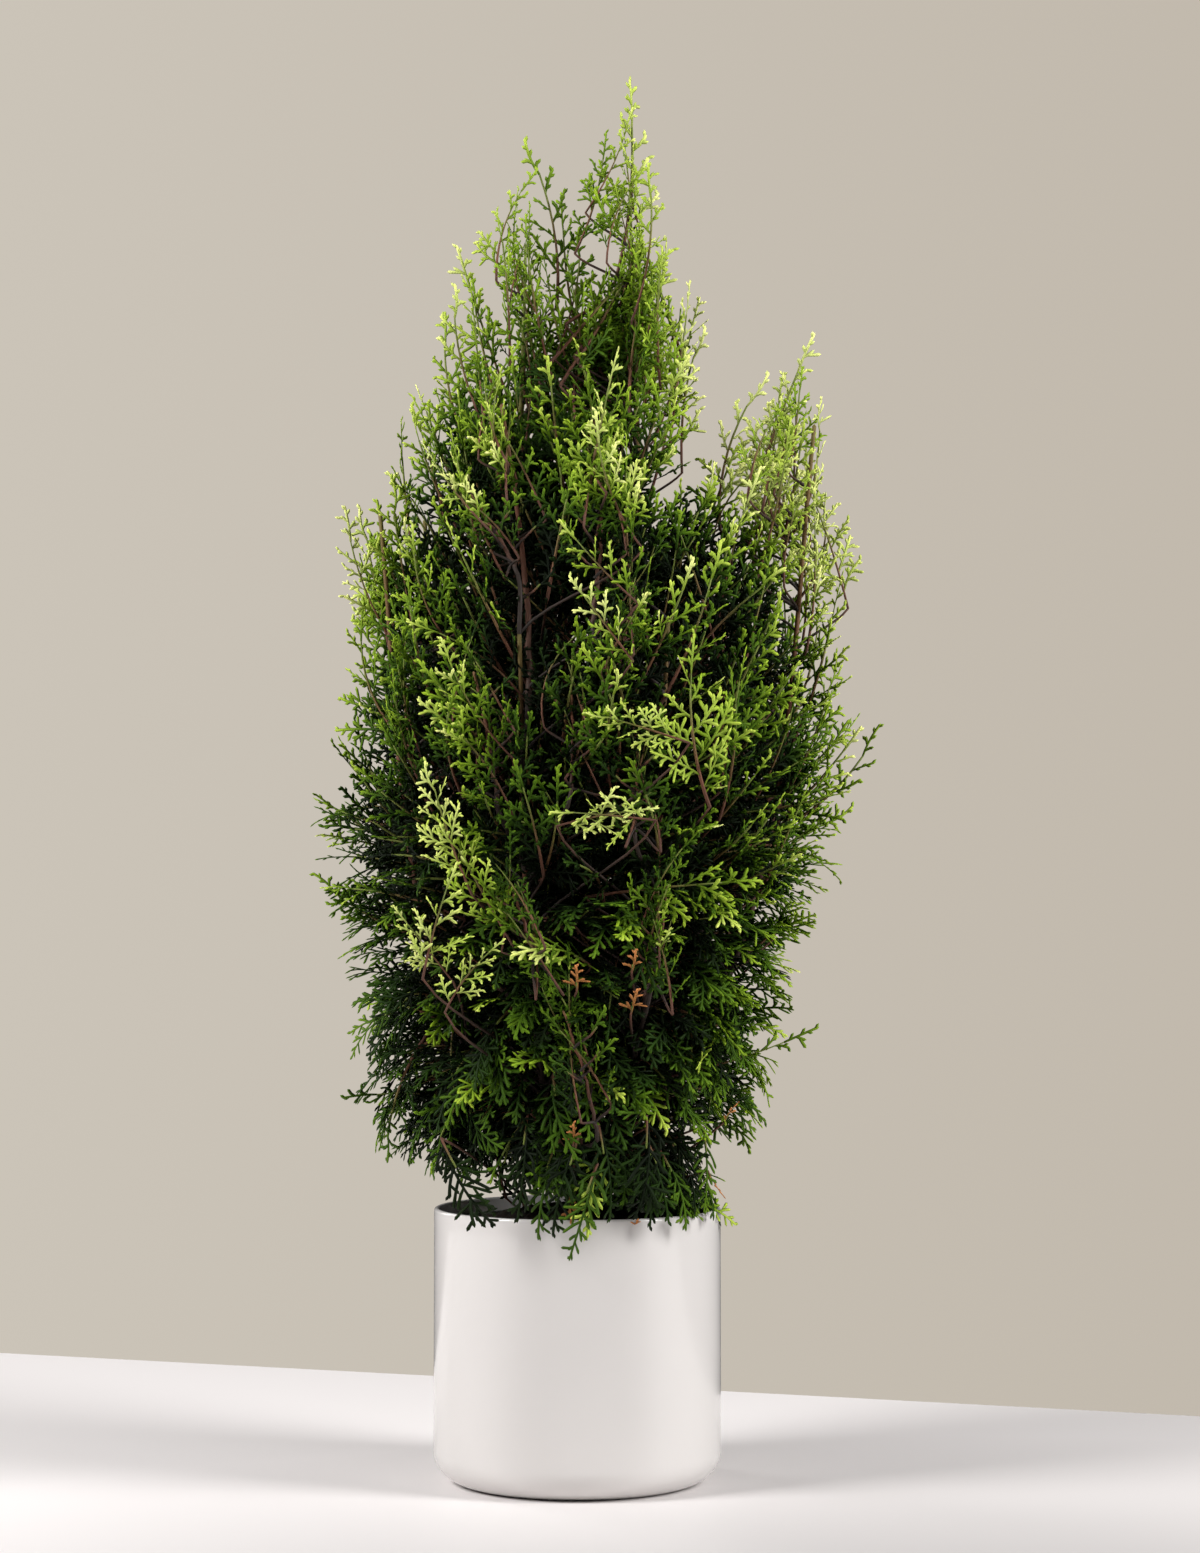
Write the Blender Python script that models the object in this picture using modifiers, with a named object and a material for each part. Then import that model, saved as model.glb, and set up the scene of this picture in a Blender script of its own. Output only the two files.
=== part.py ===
"""Artificial tabletop tree: a many-stemmed cedar with hinged boughs, standing in a glazed cover planter.

Metres, +Z up. The origin is the centre of the planter's flat base, and -Y is the front.
"""

import math

import bmesh
import bpy
from mathutils import Matrix, Vector

# Fits
CONTACT_GAP = 0.0003  # between pieces that rest on, or grip, each other
PIN_CLEARANCE = 0.00008  # a pin in its hole, on the radius
AXIS_MERGE = 0.00001  # points of a turned profile this near the axis are one point
NEARLY_ZERO = 0.000001

# Planter
PLANTER_RADIUS = 0.0635
PLANTER_HEIGHT = 0.120
PLANTER_WALL = 0.0026
PLANTER_FLOOR = 0.004
PLANTER_CORNER = 0.014  # outside radius of the lower edge
CORNER_STEPS = 5
LIP_STEPS = 4
PLANTER_SEGMENTS = 72

# Lift-out liner, ballast and soil
LINER_SIDE_GAP = 0.0012  # between the liner's rim and the planter's wall
LINER_DROP = 0.006  # liner rim below the planter's rim
LINER_WALL = 0.0012
LINER_FLOOR = 0.0015
LINER_RIM_WIDTH = 0.0022
LINER_RIM_DEPTH = 0.005
BALLAST_SHARE = 0.7  # of the liner's height
SOIL_EDGE_DROP = 0.003  # soil's edge below the liner's rim
SOIL_CROWN = 0.010  # how far the soil is mounded at the middle
SOIL_RINGS = 4
INNER_SEGMENTS = 48

# Trunk and leaders
TREE_HEIGHT = 0.625
TRUNK_RADIUS = 0.0045
FORK_RADIUS = 0.003
LEADER_RADIUS = 0.0018
FORK_SHARE = 0.43  # of the tree's height, where the second leader leaves the trunk
LEADER_SPREAD = 0.023  # how far each leader's top stands from the trunk's axis
LEFT_LEADER_SHARE = 0.955  # of the right leader's height
FORK_LEAN_DEGREES = 18.0
TIP_ABOVE_WIRE = 0.0105  # of the highest frond tips above the end of a leader's wire
FIRST_LEADER_CLUSTER_SHARE = 0.16  # of the leader's length, bare wood above the fork
RIGHT_LEADER_CLUSTERS = 4
LEFT_LEADER_CLUSTERS = 3
STEM_SIDES = 8
STEM_BEVEL_RESOLUTION = 2  # gives a rod of STEM_SIDES sides
TRUNK_STEPS = 2
ROOT_STEPS = 4

# Hub and hinges
HUB_RISE = 0.008  # hub's underside above the planter's rim
HUB_HEIGHT = 0.012
HUB_SEGMENTS = 35
PIN_RADIUS = 0.001
PIN_CIRCLE = 0.0145  # distance of each pin from the trunk's axis
PIN_HALF_LENGTH = 0.0055
KNUCKLE_RADIUS = 0.0028
KNUCKLE_WIDTH = 0.0042
SLOT_SIDE_GAP = 0.00015
HUB_LIP = 0.0014  # hub material outside the pin circle
ROUND_SIDES = 12

# Boughs
CROWN_REACH = 0.106  # of the widest stem, from the trunk's axis
FIRST_BOUGH_DEGREES = -8.0
ROOT_LEAN_DEGREES = 40.0
TOP_LEAN_DEGREES = 6.0
CURVE_HANDLE_SHARE = 0.38
BOUGH_RADIUS = 0.0016
# reach as a share of the crown's, stem top as a share of the tree's height, number of clusters
BOUGHS = (
    (1.00, 0.745, 3),
    (0.72, 0.600, 2),
    (0.66, 0.590, 2),
    (0.86, 0.680, 3),
    (0.80, 0.690, 3),
    (0.72, 0.660, 2),
    (0.88, 0.600, 2),
)
FIRST_CLUSTER_SHARE = 0.11  # of the stem's length, bare wood below the lowest fronds

# Fronds
FROND_THICKNESS = 0.0014
SLEEVE_WALL = 0.0007
FROND_LEVELS = 5
BOUGH_FRONDS = 5  # in each cluster
LEADER_FRONDS = 4
BOUGH_FROND_REACH = 0.052
LEADER_FROND_REACH = 0.036
TRUNK_FROND_REACH = 0.016
LOW_FROND_RISE_DEGREES = 22.0
HIGH_FROND_RISE_DEGREES = 62.0
FROND_FULLNESS = 0.55  # lower is fuller towards both ends of a frond
FROND_END_SHARE = 0.06  # of half a sine wave, left off at each end of a frond's outline
POINTS_PER_FROND = 6
LOBE_DEPTH = 0.18
SLEEVE_END_GAP = 0.0012
WEDGE_HALF_GAP = 0.0016  # from a frond's edge to the plane between two boughs
CORE_RADIUS_LOW = 0.020
CORE_RADIUS_HIGH = 0.046
CORE_GAP = 0.002
CORE_WIDENS_SHARE = 0.5  # of the trunk above the skirt, below which the core stays at its low radius

# Skirt
SKIRT_SLEEVE_HEIGHT = 0.016
SKIRT_OVERHANG = 0.0245  # tip outside the planter's side
SKIRT_DROOP = 0.017  # tip below the planter's rim
SKIRT_RIM_CLEARANCE = 0.006
SKIRT_TOP_RISE = 0.050
SKIRT_TOP_RADIUS = 0.045

# Derived
HOLE_ALLOWANCE = 1.0 / math.cos(math.pi / STEM_SIDES)  # keeps a hole's flat sides clear of a rod
PLANTER_BORE = PLANTER_RADIUS - PLANTER_WALL
LINER_BOTTOM = PLANTER_FLOOR + CONTACT_GAP
LINER_TOP = PLANTER_HEIGHT - LINER_DROP
LINER_TOP_RADIUS = PLANTER_BORE - LINER_SIDE_GAP
LINER_BODY_TOP_RADIUS = LINER_TOP_RADIUS - LINER_RIM_WIDTH
LINER_BASE_RADIUS = PLANTER_RADIUS - PLANTER_CORNER - LINER_SIDE_GAP
BALLAST_BOTTOM = LINER_BOTTOM + LINER_FLOOR + CONTACT_GAP
BALLAST_TOP = LINER_BOTTOM + BALLAST_SHARE * (LINER_TOP - LINER_BOTTOM)
TRUNK_BOTTOM = BALLAST_BOTTOM
FORK_HEIGHT = FORK_SHARE * TREE_HEIGHT
HUB_BOTTOM = PLANTER_HEIGHT + HUB_RISE
HUB_TOP = HUB_BOTTOM + HUB_HEIGHT
PIN_HEIGHT = (HUB_BOTTOM + HUB_TOP) / 2
HUB_RADIUS = PIN_CIRCLE + HUB_LIP
WEDGE_HALF_ANGLE = math.pi / len(BOUGHS)
SKIRT_REACH = PLANTER_RADIUS + SKIRT_OVERHANG
SKIRT_SLEEVE_BOTTOM = HUB_TOP + SLEEVE_END_GAP
SKIRT_SLEEVE_TOP = SKIRT_SLEEVE_BOTTOM + SKIRT_SLEEVE_HEIGHT
TRUNK_FRONDS_BOTTOM = SKIRT_SLEEVE_TOP + SLEEVE_END_GAP


def clear_scene():
    for obj in list(bpy.data.objects):
        bpy.data.objects.remove(obj, do_unlink=True)


def new_collection(name, hidden=False):
    collection = bpy.data.collections.new(name)
    bpy.context.scene.collection.children.link(collection)
    collection.hide_render = hidden
    return collection


def new_material(name, colour, roughness):
    material = bpy.data.materials.new(name)
    material.use_nodes = True
    shader = material.node_tree.nodes["Principled BSDF"]
    shader.inputs["Base Color"].default_value = (*colour, 1.0)
    shader.inputs["Roughness"].default_value = roughness
    return material


def add_object(name, mesh, collection, material, smooth=False):
    obj = bpy.data.objects.new(name, mesh)
    collection.objects.link(obj)
    mesh.materials.append(material)
    for face in mesh.polygons:
        face.use_smooth = smooth
    return obj


def mesh_from(name, points, faces):
    mesh = bpy.data.meshes.new(name)
    mesh.from_pydata([tuple(point) for point in points], [], faces)
    mesh.validate()
    return mesh


def facing_out(mesh):
    work = bmesh.new()
    work.from_mesh(mesh)
    bmesh.ops.recalc_face_normals(work, faces=work.faces)
    work.to_mesh(mesh)
    work.free()
    return mesh


def mesh_of(work, name):
    mesh = bpy.data.meshes.new(name)
    work.to_mesh(mesh)
    work.free()
    return mesh


def turned(name, profile, segments, collection, material):
    """A solid of revolution about Z, from (radius, height) points that go round it anticlockwise."""
    points = [(radius, 0.0, height) for radius, height in profile]
    edges = [(k, k + 1) for k in range(len(points) - 1)]
    if profile[0][0] > 0.0:
        edges.append((len(points) - 1, 0))
    mesh = bpy.data.meshes.new(name)
    mesh.from_pydata(points, edges, [])
    obj = add_object(name, mesh, collection, material)
    screw = obj.modifiers.new("turn", "SCREW")
    screw.steps = segments
    screw.render_steps = segments
    screw.use_merge_vertices = True
    screw.merge_threshold = AXIS_MERGE
    screw.use_normal_flip = True
    return obj


def arc(centre, radius, start_degrees, end_degrees, steps):
    """Points of an arc in the (radius, height) plane."""
    found = []
    for step in range(steps + 1):
        angle = math.radians(start_degrees + (end_degrees - start_degrees) * step / steps)
        found.append((centre[0] + radius * math.cos(angle), centre[1] + radius * math.sin(angle)))
    return found


def make_planter(collection, material):
    lip = PLANTER_WALL / 2
    inner_corner = PLANTER_CORNER - PLANTER_WALL
    floor_edge = PLANTER_BORE - inner_corner
    profile = [(0.0, 0.0)]
    profile += arc((PLANTER_RADIUS - PLANTER_CORNER, PLANTER_CORNER), PLANTER_CORNER, -90, 0, CORNER_STEPS)
    profile += arc((PLANTER_RADIUS - lip, PLANTER_HEIGHT - lip), lip, 0, 180, LIP_STEPS)
    profile += arc((floor_edge, PLANTER_FLOOR + inner_corner), inner_corner, 0, -90, CORNER_STEPS)
    profile += [(0.0, PLANTER_FLOOR)]
    return turned("planter_pot", profile, PLANTER_SEGMENTS, collection, material)


def liner_radius(height):
    """Outside radius of the liner's tapered wall at a height above the planter's base."""
    share = (height - LINER_BOTTOM) / (LINER_TOP - LINER_BOTTOM)
    return LINER_BASE_RADIUS + share * (LINER_BODY_TOP_RADIUS - LINER_BASE_RADIUS)


def liner_bore(height):
    return liner_radius(height) - LINER_WALL


def make_liner(collection, material):
    rim_bottom = LINER_TOP - LINER_RIM_DEPTH
    floor = LINER_BOTTOM + LINER_FLOOR
    profile = [
        (0.0, LINER_BOTTOM),
        (LINER_BASE_RADIUS, LINER_BOTTOM),
        (liner_radius(rim_bottom), rim_bottom),
        (LINER_TOP_RADIUS, rim_bottom),
        (LINER_TOP_RADIUS, LINER_TOP),
        (liner_bore(LINER_TOP), LINER_TOP),
        (liner_bore(floor), floor),
        (0.0, floor),
    ]
    return turned("liner_pot", profile, INNER_SEGMENTS, collection, material)


def make_ballast(collection, material):
    hole = (TRUNK_RADIUS + CONTACT_GAP) * HOLE_ALLOWANCE
    profile = [
        (hole, BALLAST_BOTTOM),
        (liner_bore(BALLAST_BOTTOM) - CONTACT_GAP, BALLAST_BOTTOM),
        (liner_bore(BALLAST_TOP) - CONTACT_GAP, BALLAST_TOP),
        (hole, BALLAST_TOP),
    ]
    return turned("ballast_block", profile, INNER_SEGMENTS, collection, material)


def make_soil(collection, material):
    hole = (TRUNK_RADIUS + CONTACT_GAP) * HOLE_ALLOWANCE
    bottom = BALLAST_TOP + CONTACT_GAP
    edge_height = LINER_TOP - SOIL_EDGE_DROP
    edge = liner_bore(edge_height) - CONTACT_GAP
    profile = [(hole, bottom), (liner_bore(bottom) - CONTACT_GAP, bottom)]
    for ring in range(SOIL_RINGS + 1):
        share = ring / SOIL_RINGS
        mound = SOIL_CROWN * math.sin(share * math.pi / 2)
        profile.append((edge + share * (hole - edge), edge_height + mound))
    return turned("soil_cover", profile, INNER_SEGMENTS, collection, material)


def curve_point(ends, share):
    """Point of a cubic curve with four control points."""
    first, second, third, last = ends
    rest = 1.0 - share
    return (
        first * rest**3
        + second * 3 * rest**2 * share
        + third * 3 * rest * share**2
        + last * share**3
    )


def curve_direction(ends, share):
    first, second, third, last = ends
    rest = 1.0 - share
    slope = (
        (second - first) * rest**2
        + (third - second) * 2 * rest * share
        + (last - third) * share**2
    )
    return slope.normalized()


def stem_curve(foot, top, outward, root_lean, top_lean):
    """Control points of a stem that leaves its foot leaning outward and ends nearly upright."""
    handle = CURVE_HANDLE_SHARE * (top - foot).length
    up = Vector((0.0, 0.0, 1.0))
    root_way = outward * math.sin(root_lean) + up * math.cos(root_lean)
    top_way = outward * math.sin(top_lean) + up * math.cos(top_lean)
    return foot, foot + root_way * handle, top - top_way * handle, top


def cluster_spans(first_share, clusters, ends):
    """Start and end share, along a stem, of each of its frond clusters."""
    gap = SLEEVE_END_GAP / (ends[3] - ends[0]).length
    each = (1.0 - first_share) / clusters
    return [(first_share + each * k, first_share + each * (k + 1) - gap) for k in range(clusters)]


def level_shares(span):
    start, end = span
    return [start + (end - start) * level / FROND_LEVELS for level in range(FROND_LEVELS + 1)]


def stem_shares(root, spans):
    """Where a stem's rings lie: at each level of its sleeves, so that the two bend alike."""
    shares = [root + (spans[0][0] - root) * step / ROOT_STEPS for step in range(ROOT_STEPS)]
    for span in spans:
        shares += level_shares(span)
    return shares + [1.0]


def rod_mesh(name, ends, shares, radius, end_radius):
    """A round rod along a curve, with a ring at each share of it."""
    curve = bpy.data.curves.new(name, "CURVE")
    curve.dimensions = "3D"
    curve.bevel_depth = radius
    curve.bevel_resolution = STEM_BEVEL_RESOLUTION
    curve.use_fill_caps = True
    spline = curve.splines.new("POLY")
    spline.points.add(len(shares) - 1)
    for point, share in zip(spline.points, shares):
        point.co = (*curve_point(ends, share), 1.0)
        point.radius = 1.0 + share * (end_radius / radius - 1.0)
    rod = bpy.data.objects.new(name, curve)
    mesh = bpy.data.meshes.new_from_object(rod)
    bpy.data.objects.remove(rod)
    return mesh


def cylinder_mesh(name, centre, axis, radius, half_length, sides):
    work = bmesh.new()
    placement = Matrix.Translation(centre) @ axis.to_track_quat("Z", "Y").to_matrix().to_4x4()
    bmesh.ops.create_cone(
        work,
        cap_ends=True,
        segments=sides,
        radius1=radius,
        radius2=radius,
        depth=2 * half_length,
        matrix=placement,
    )
    return mesh_of(work, name)


def box_mesh(name, centre, outward, halves):
    """A box whose first side points outward and whose last is upright."""
    work = bmesh.new()
    turn = Matrix.Rotation(math.atan2(outward.y, outward.x), 4, "Z")
    placement = Matrix.Translation(centre) @ turn @ Matrix.Diagonal((*halves, 1.0))
    bmesh.ops.create_cube(work, size=2.0, matrix=placement)
    return mesh_of(work, name)


def add_boolean(obj, other, operation):
    modifier = obj.modifiers.new(f"{operation.lower()} {other.name}", "BOOLEAN")
    modifier.operation = operation
    modifier.solver = "EXACT"
    modifier.object = other


def helper(name, mesh, cutters):
    obj = bpy.data.objects.new(name, mesh)
    cutters.objects.link(obj)
    obj.hide_render = True
    obj.display_type = "WIRE"
    return obj


def bough_angle(number):
    return math.radians(FIRST_BOUGH_DEGREES) - 2 * WEDGE_HALF_ANGLE * number


def outward_at(angle):
    return Vector((math.cos(angle), math.sin(angle), 0.0))


def sideways_at(angle):
    """Hinge axis of a bough: a positive turn about it leans the bough outward."""
    return Vector((-math.sin(angle), math.cos(angle), 0.0))


def pin_centre(angle):
    return outward_at(angle) * PIN_CIRCLE + Vector((0.0, 0.0, PIN_HEIGHT))


def bough_curve(number):
    reach_share, height_share, _ = BOUGHS[number]
    outward = outward_at(bough_angle(number))
    foot = pin_centre(bough_angle(number))
    top = outward * (reach_share * CROWN_REACH) + Vector((0.0, 0.0, height_share * TREE_HEIGHT))
    root_lean = math.radians(ROOT_LEAN_DEGREES)
    return stem_curve(foot, top, outward, root_lean, math.radians(TOP_LEAN_DEGREES))


def make_hub(collection, cutters, material):
    hole = (TRUNK_RADIUS + CONTACT_GAP) * HOLE_ALLOWANCE
    profile = [(hole, HUB_BOTTOM), (HUB_RADIUS, HUB_BOTTOM), (HUB_RADIUS, HUB_TOP), (hole, HUB_TOP)]
    hub = turned("bough_hub", profile, HUB_SEGMENTS, collection, material)
    up = Vector((0.0, 0.0, 1.0))
    slot_inner = PIN_CIRCLE - KNUCKLE_RADIUS - CONTACT_GAP
    slot_half_length = (HUB_RADIUS - slot_inner) / 2 + HUB_LIP
    slot_half_width = KNUCKLE_WIDTH / 2 + SLOT_SIDE_GAP
    for number in range(len(BOUGHS)):
        angle = bough_angle(number)
        outward = outward_at(angle)
        sideways = sideways_at(angle)
        centre = outward * (slot_inner + slot_half_length) + up * PIN_HEIGHT
        halves = (slot_half_length, slot_half_width, HUB_HEIGHT)
        slot = box_mesh(f"hub_slot_{number + 1}", centre, outward, halves)
        add_boolean(hub, helper(f"hub_slot_{number + 1}", slot, cutters), "DIFFERENCE")
        drill = cylinder_mesh(
            f"hub_drill_{number + 1}",
            pin_centre(angle),
            sideways,
            PIN_RADIUS + PIN_CLEARANCE,
            HUB_RADIUS,
            ROUND_SIDES,
        )
        add_boolean(hub, helper(f"hub_drill_{number + 1}", drill, cutters), "DIFFERENCE")
    return hub


def make_pin(number, collection, material):
    angle = bough_angle(number)
    name = f"hinge_pin_{number + 1}"
    sideways = sideways_at(angle)
    mesh = cylinder_mesh(name, pin_centre(angle), sideways, PIN_RADIUS, PIN_HALF_LENGTH, ROUND_SIDES)
    return add_object(name, mesh, collection, material)


def make_bough_stem(number, collection, cutters, material):
    angle = bough_angle(number)
    sideways = sideways_at(angle)
    name = f"bough_{number + 1}_stem"
    ends = bough_curve(number)
    length = (ends[3] - ends[0]).length
    start = (PIN_RADIUS + KNUCKLE_RADIUS) / 2 / length
    spans = cluster_spans(FIRST_CLUSTER_SHARE, BOUGHS[number][2], ends)
    rod = rod_mesh(name, ends, stem_shares(start, spans), BOUGH_RADIUS, BOUGH_RADIUS)
    stem = add_object(name, rod, collection, material, smooth=True)
    knuckle = cylinder_mesh(
        f"{name}_knuckle", pin_centre(angle), sideways, KNUCKLE_RADIUS, KNUCKLE_WIDTH / 2, ROUND_SIDES
    )
    add_boolean(stem, helper(f"{name}_knuckle", knuckle, cutters), "UNION")
    drill = cylinder_mesh(
        f"{name}_drill", pin_centre(angle), sideways, PIN_RADIUS + PIN_CLEARANCE, KNUCKLE_WIDTH, ROUND_SIDES
    )
    add_boolean(stem, helper(f"{name}_drill", drill, cutters), "DIFFERENCE")
    return stem


def leader_curve(sign):
    """sign is 1 for the right leader, which goes on from the trunk, and -1 for the left one."""
    outward = Vector((float(sign), 0.0, 0.0))
    foot = Vector((0.0, 0.0, FORK_HEIGHT - FORK_RADIUS))
    share = 1.0 if sign > 0 else LEFT_LEADER_SHARE
    wire_end = share * TREE_HEIGHT - TIP_ABOVE_WIRE
    top = outward * LEADER_SPREAD + Vector((0.0, 0.0, wire_end))
    return stem_curve(foot, top, outward, math.radians(FORK_LEAN_DEGREES), 0.0)


def straight_ends(bottom, top):
    """Control points of a straight upright stem on the tree's axis."""
    up = Vector((0.0, 0.0, 1.0))
    third = (top - bottom) / 3
    return up * bottom, up * (bottom + third), up * (top - third), up * top


def make_trunk(collection, cutters, material):
    ends = straight_ends(TRUNK_BOTTOM, FORK_HEIGHT)
    shares = [step / TRUNK_STEPS for step in range(TRUNK_STEPS + 1)]
    rod = rod_mesh("trunk_stem", ends, shares, TRUNK_RADIUS, FORK_RADIUS)
    trunk = add_object("trunk_stem", rod, collection, material, smooth=True)
    for side_name, sign, clusters in (
        ("right", 1, RIGHT_LEADER_CLUSTERS),
        ("left", -1, LEFT_LEADER_CLUSTERS),
    ):
        ends = leader_curve(sign)
        spans = cluster_spans(FIRST_LEADER_CLUSTER_SHARE, clusters, ends)
        shares = stem_shares(0.0, spans)
        leader = rod_mesh(f"leader_{side_name}", ends, shares, LEADER_RADIUS, LEADER_RADIUS)
        add_boolean(trunk, helper(f"leader_{side_name}", leader, cutters), "UNION")
    return trunk


def bough_limits(number):
    """Upright planes (normal, distance from the trunk's axis) that a bough's fronds stay behind."""
    angle = bough_angle(number)
    planes = []
    for side in (-1, 1):
        boundary = angle + side * WEDGE_HALF_ANGLE
        planes.append((sideways_at(boundary) * side, -WEDGE_HALF_GAP))
    return planes


def core_radius(height):
    """Radius of the column kept free for the trunk's and leaders' own fronds."""
    low = TRUNK_FRONDS_BOTTOM
    share = min(1.0, max(0.0, (height - low) / (FORK_HEIGHT - low)))
    blend = max(0.0, (share - CORE_WIDENS_SHARE) / (1.0 - CORE_WIDENS_SHARE))
    return CORE_RADIUS_LOW + blend * (CORE_RADIUS_HIGH - CORE_RADIUS_LOW)


def allowed_reach(centre, way, wanted, planes):
    """The reach from a stem, up to the wanted one, that keeps a frond's edge behind every plane."""
    reach = wanted
    for normal, distance in planes:
        closing = way.dot(normal)
        room = distance - FROND_THICKNESS / 2 - centre.dot(normal)
        if closing > NEARLY_ZERO:
            reach = min(reach, max(0.0, room) / closing)
    return reach


def frond_profile(level):
    """Share of the full reach, and rise angle, at a level of a fan-shaped frond."""
    share = level / FROND_LEVELS
    wave = FROND_END_SHARE + (1.0 - 2 * FROND_END_SHARE) * share
    body = math.sin(math.pi * wave) ** FROND_FULLNESS
    lobes = 1.0 - LOBE_DEPTH * (level % 2)
    rise = LOW_FROND_RISE_DEGREES + share * (HIGH_FROND_RISE_DEGREES - LOW_FROND_RISE_DEGREES)
    return body * lobes, math.radians(rise)


def frond_cluster(name, place, spec, collection, material):
    """A rosette of upright fan-shaped fronds moulded on a sleeve that slips over a stem.

    place is (curve, side, span); spec is (fronds, turn, reach, stem radius, planes at a point).
    """
    ends, side, span = place
    count, turn, wanted, stem_radius, planes_at = spec
    hole = (stem_radius + CONTACT_GAP) * HOLE_ALLOWANCE
    sleeve = hole + SLEEVE_WALL
    half = FROND_THICKNESS / 2
    spread = math.asin(half / sleeve)
    points = []
    for level, share in enumerate(level_shares(span)):
        centre = curve_point(ends, share)
        along = curve_direction(ends, share)
        normal = side.cross(along).normalized()
        body, rise = frond_profile(level)
        for frond in range(count):
            angle = turn + 2 * math.pi * frond / count
            way = math.cos(angle) * normal + math.sin(angle) * side
            across = along.cross(way)
            reach = allowed_reach(centre, way, wanted * body, planes_at(centre))
            reach = max(reach, sleeve + half)
            flat_reach = sleeve + (reach - sleeve) * math.cos(rise)
            lift = (reach - sleeve) * math.sin(rise)
            tip = centre + way * flat_reach + along * lift
            for edge in (-1, 1):
                radial = math.cos(spread) * way + math.sin(spread) * edge * across
                points.append(centre + hole * radial)
                points.append(centre + sleeve * radial)
                points.append(tip + across * (edge * half))
    faces = cluster_faces(count)
    mesh = facing_out(mesh_from(name, points, faces))
    return add_object(name, mesh, collection, material)


def cluster_faces(count):
    """Faces of a frond cluster: at every level a frond has a hole, root and tip point on each side."""
    faces = []
    ring = POINTS_PER_FROND * count
    for frond in range(count):
        this = POINTS_PER_FROND * frond
        following = POINTS_PER_FROND * ((frond + 1) % count)
        hole_a, root_a, tip_a, hole_b, root_b, tip_b = (this + k for k in range(POINTS_PER_FROND))
        hole_c, root_c = following, following + 1
        frond_walls = ((root_a, tip_a), (tip_a, tip_b), (tip_b, root_b), (root_b, root_c))
        walls = (*frond_walls, (hole_a, hole_b), (hole_b, hole_c))
        for level in range(FROND_LEVELS):
            low = ring * level
            high = low + ring
            for first, second in walls:
                faces.append((low + first, low + second, high + second, high + first))
        for base in (0, ring * FROND_LEVELS):
            faces.append(tuple(base + k for k in (root_a, tip_a, tip_b, root_b)))
            faces.append(tuple(base + k for k in (hole_a, root_a, root_b, hole_b)))
            faces.append(tuple(base + k for k in (hole_b, root_b, root_c, hole_c)))
    return faces


def make_bough_fronds(number, collection, material):
    ends = bough_curve(number)
    side = sideways_at(bough_angle(number))
    outward = outward_at(bough_angle(number))

    def planes_at(centre):
        free = core_radius(centre.z + BOUGH_FROND_REACH) + CORE_GAP
        return bough_limits(number) + [(-outward, -free)]

    for cluster, span in enumerate(cluster_spans(FIRST_CLUSTER_SHARE, BOUGHS[number][2], ends)):
        turn = math.pi / BOUGH_FRONDS * (cluster % 2)
        spec = (BOUGH_FRONDS, turn, BOUGH_FROND_REACH, BOUGH_RADIUS, planes_at)
        name = f"bough_{number + 1}_fronds_{cluster + 1}"
        frond_cluster(name, (ends, side, span), spec, collection, material)


def core_limits(height):
    """Planes that keep a leader's fronds inside the column that the boughs leave free."""
    free = core_radius(height)
    return [(outward_at(bough_angle(number)), free) for number in range(len(BOUGHS))]


def make_leader_fronds(sign, clusters, collection, material):
    side_name = "right" if sign > 0 else "left"
    ends = leader_curve(sign)
    side = Vector((0.0, float(sign), 0.0))
    between = (Vector((-float(sign), 0.0, 0.0)), -WEDGE_HALF_GAP)

    def planes_at(centre):
        return core_limits(centre.z) + [between]

    for cluster, span in enumerate(cluster_spans(FIRST_LEADER_CLUSTER_SHARE, clusters, ends)):
        turn = math.pi / LEADER_FRONDS * (cluster % 2)
        spec = (LEADER_FRONDS, turn, LEADER_FROND_REACH, LEADER_RADIUS, planes_at)
        name = f"leader_{side_name}_fronds_{cluster + 1}"
        frond_cluster(name, (ends, side, span), spec, collection, material)


def make_trunk_fronds(collection, material):
    ends = straight_ends(TRUNK_FRONDS_BOTTOM, FORK_HEIGHT - TRUNK_FROND_REACH)

    def planes_at(centre):
        return core_limits(centre.z)

    place = (ends, Vector((0.0, 1.0, 0.0)), (0.0, 1.0))
    spec = (BOUGH_FRONDS, 0.0, TRUNK_FROND_REACH, TRUNK_RADIUS, planes_at)
    return frond_cluster("trunk_fronds", place, spec, collection, material)


def skirt_outline():
    """Edge of a skirt frond as (radius, height): out over the planter's rim, down past it and back up."""
    rim = PLANTER_HEIGHT + SKIRT_RIM_CLEARANCE
    outside = PLANTER_RADIUS + SKIRT_RIM_CLEARANCE
    tip = PLANTER_HEIGHT - SKIRT_DROOP
    root = TRUNK_RADIUS + CONTACT_GAP + SLEEVE_WALL
    return (
        (root, SKIRT_SLEEVE_BOTTOM),
        (HUB_RADIUS + SKIRT_RIM_CLEARANCE, SKIRT_SLEEVE_BOTTOM),
        (PLANTER_RADIUS, rim),
        (outside, tip),
        (outside + SKIRT_RIM_CLEARANCE, tip + SKIRT_RIM_CLEARANCE),
        (SKIRT_REACH, tip),
        (SKIRT_REACH, rim + SKIRT_RIM_CLEARANCE),
        (SKIRT_TOP_RADIUS, SKIRT_SLEEVE_TOP + SKIRT_TOP_RISE),
        (root, SKIRT_SLEEVE_TOP),
    )


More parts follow.
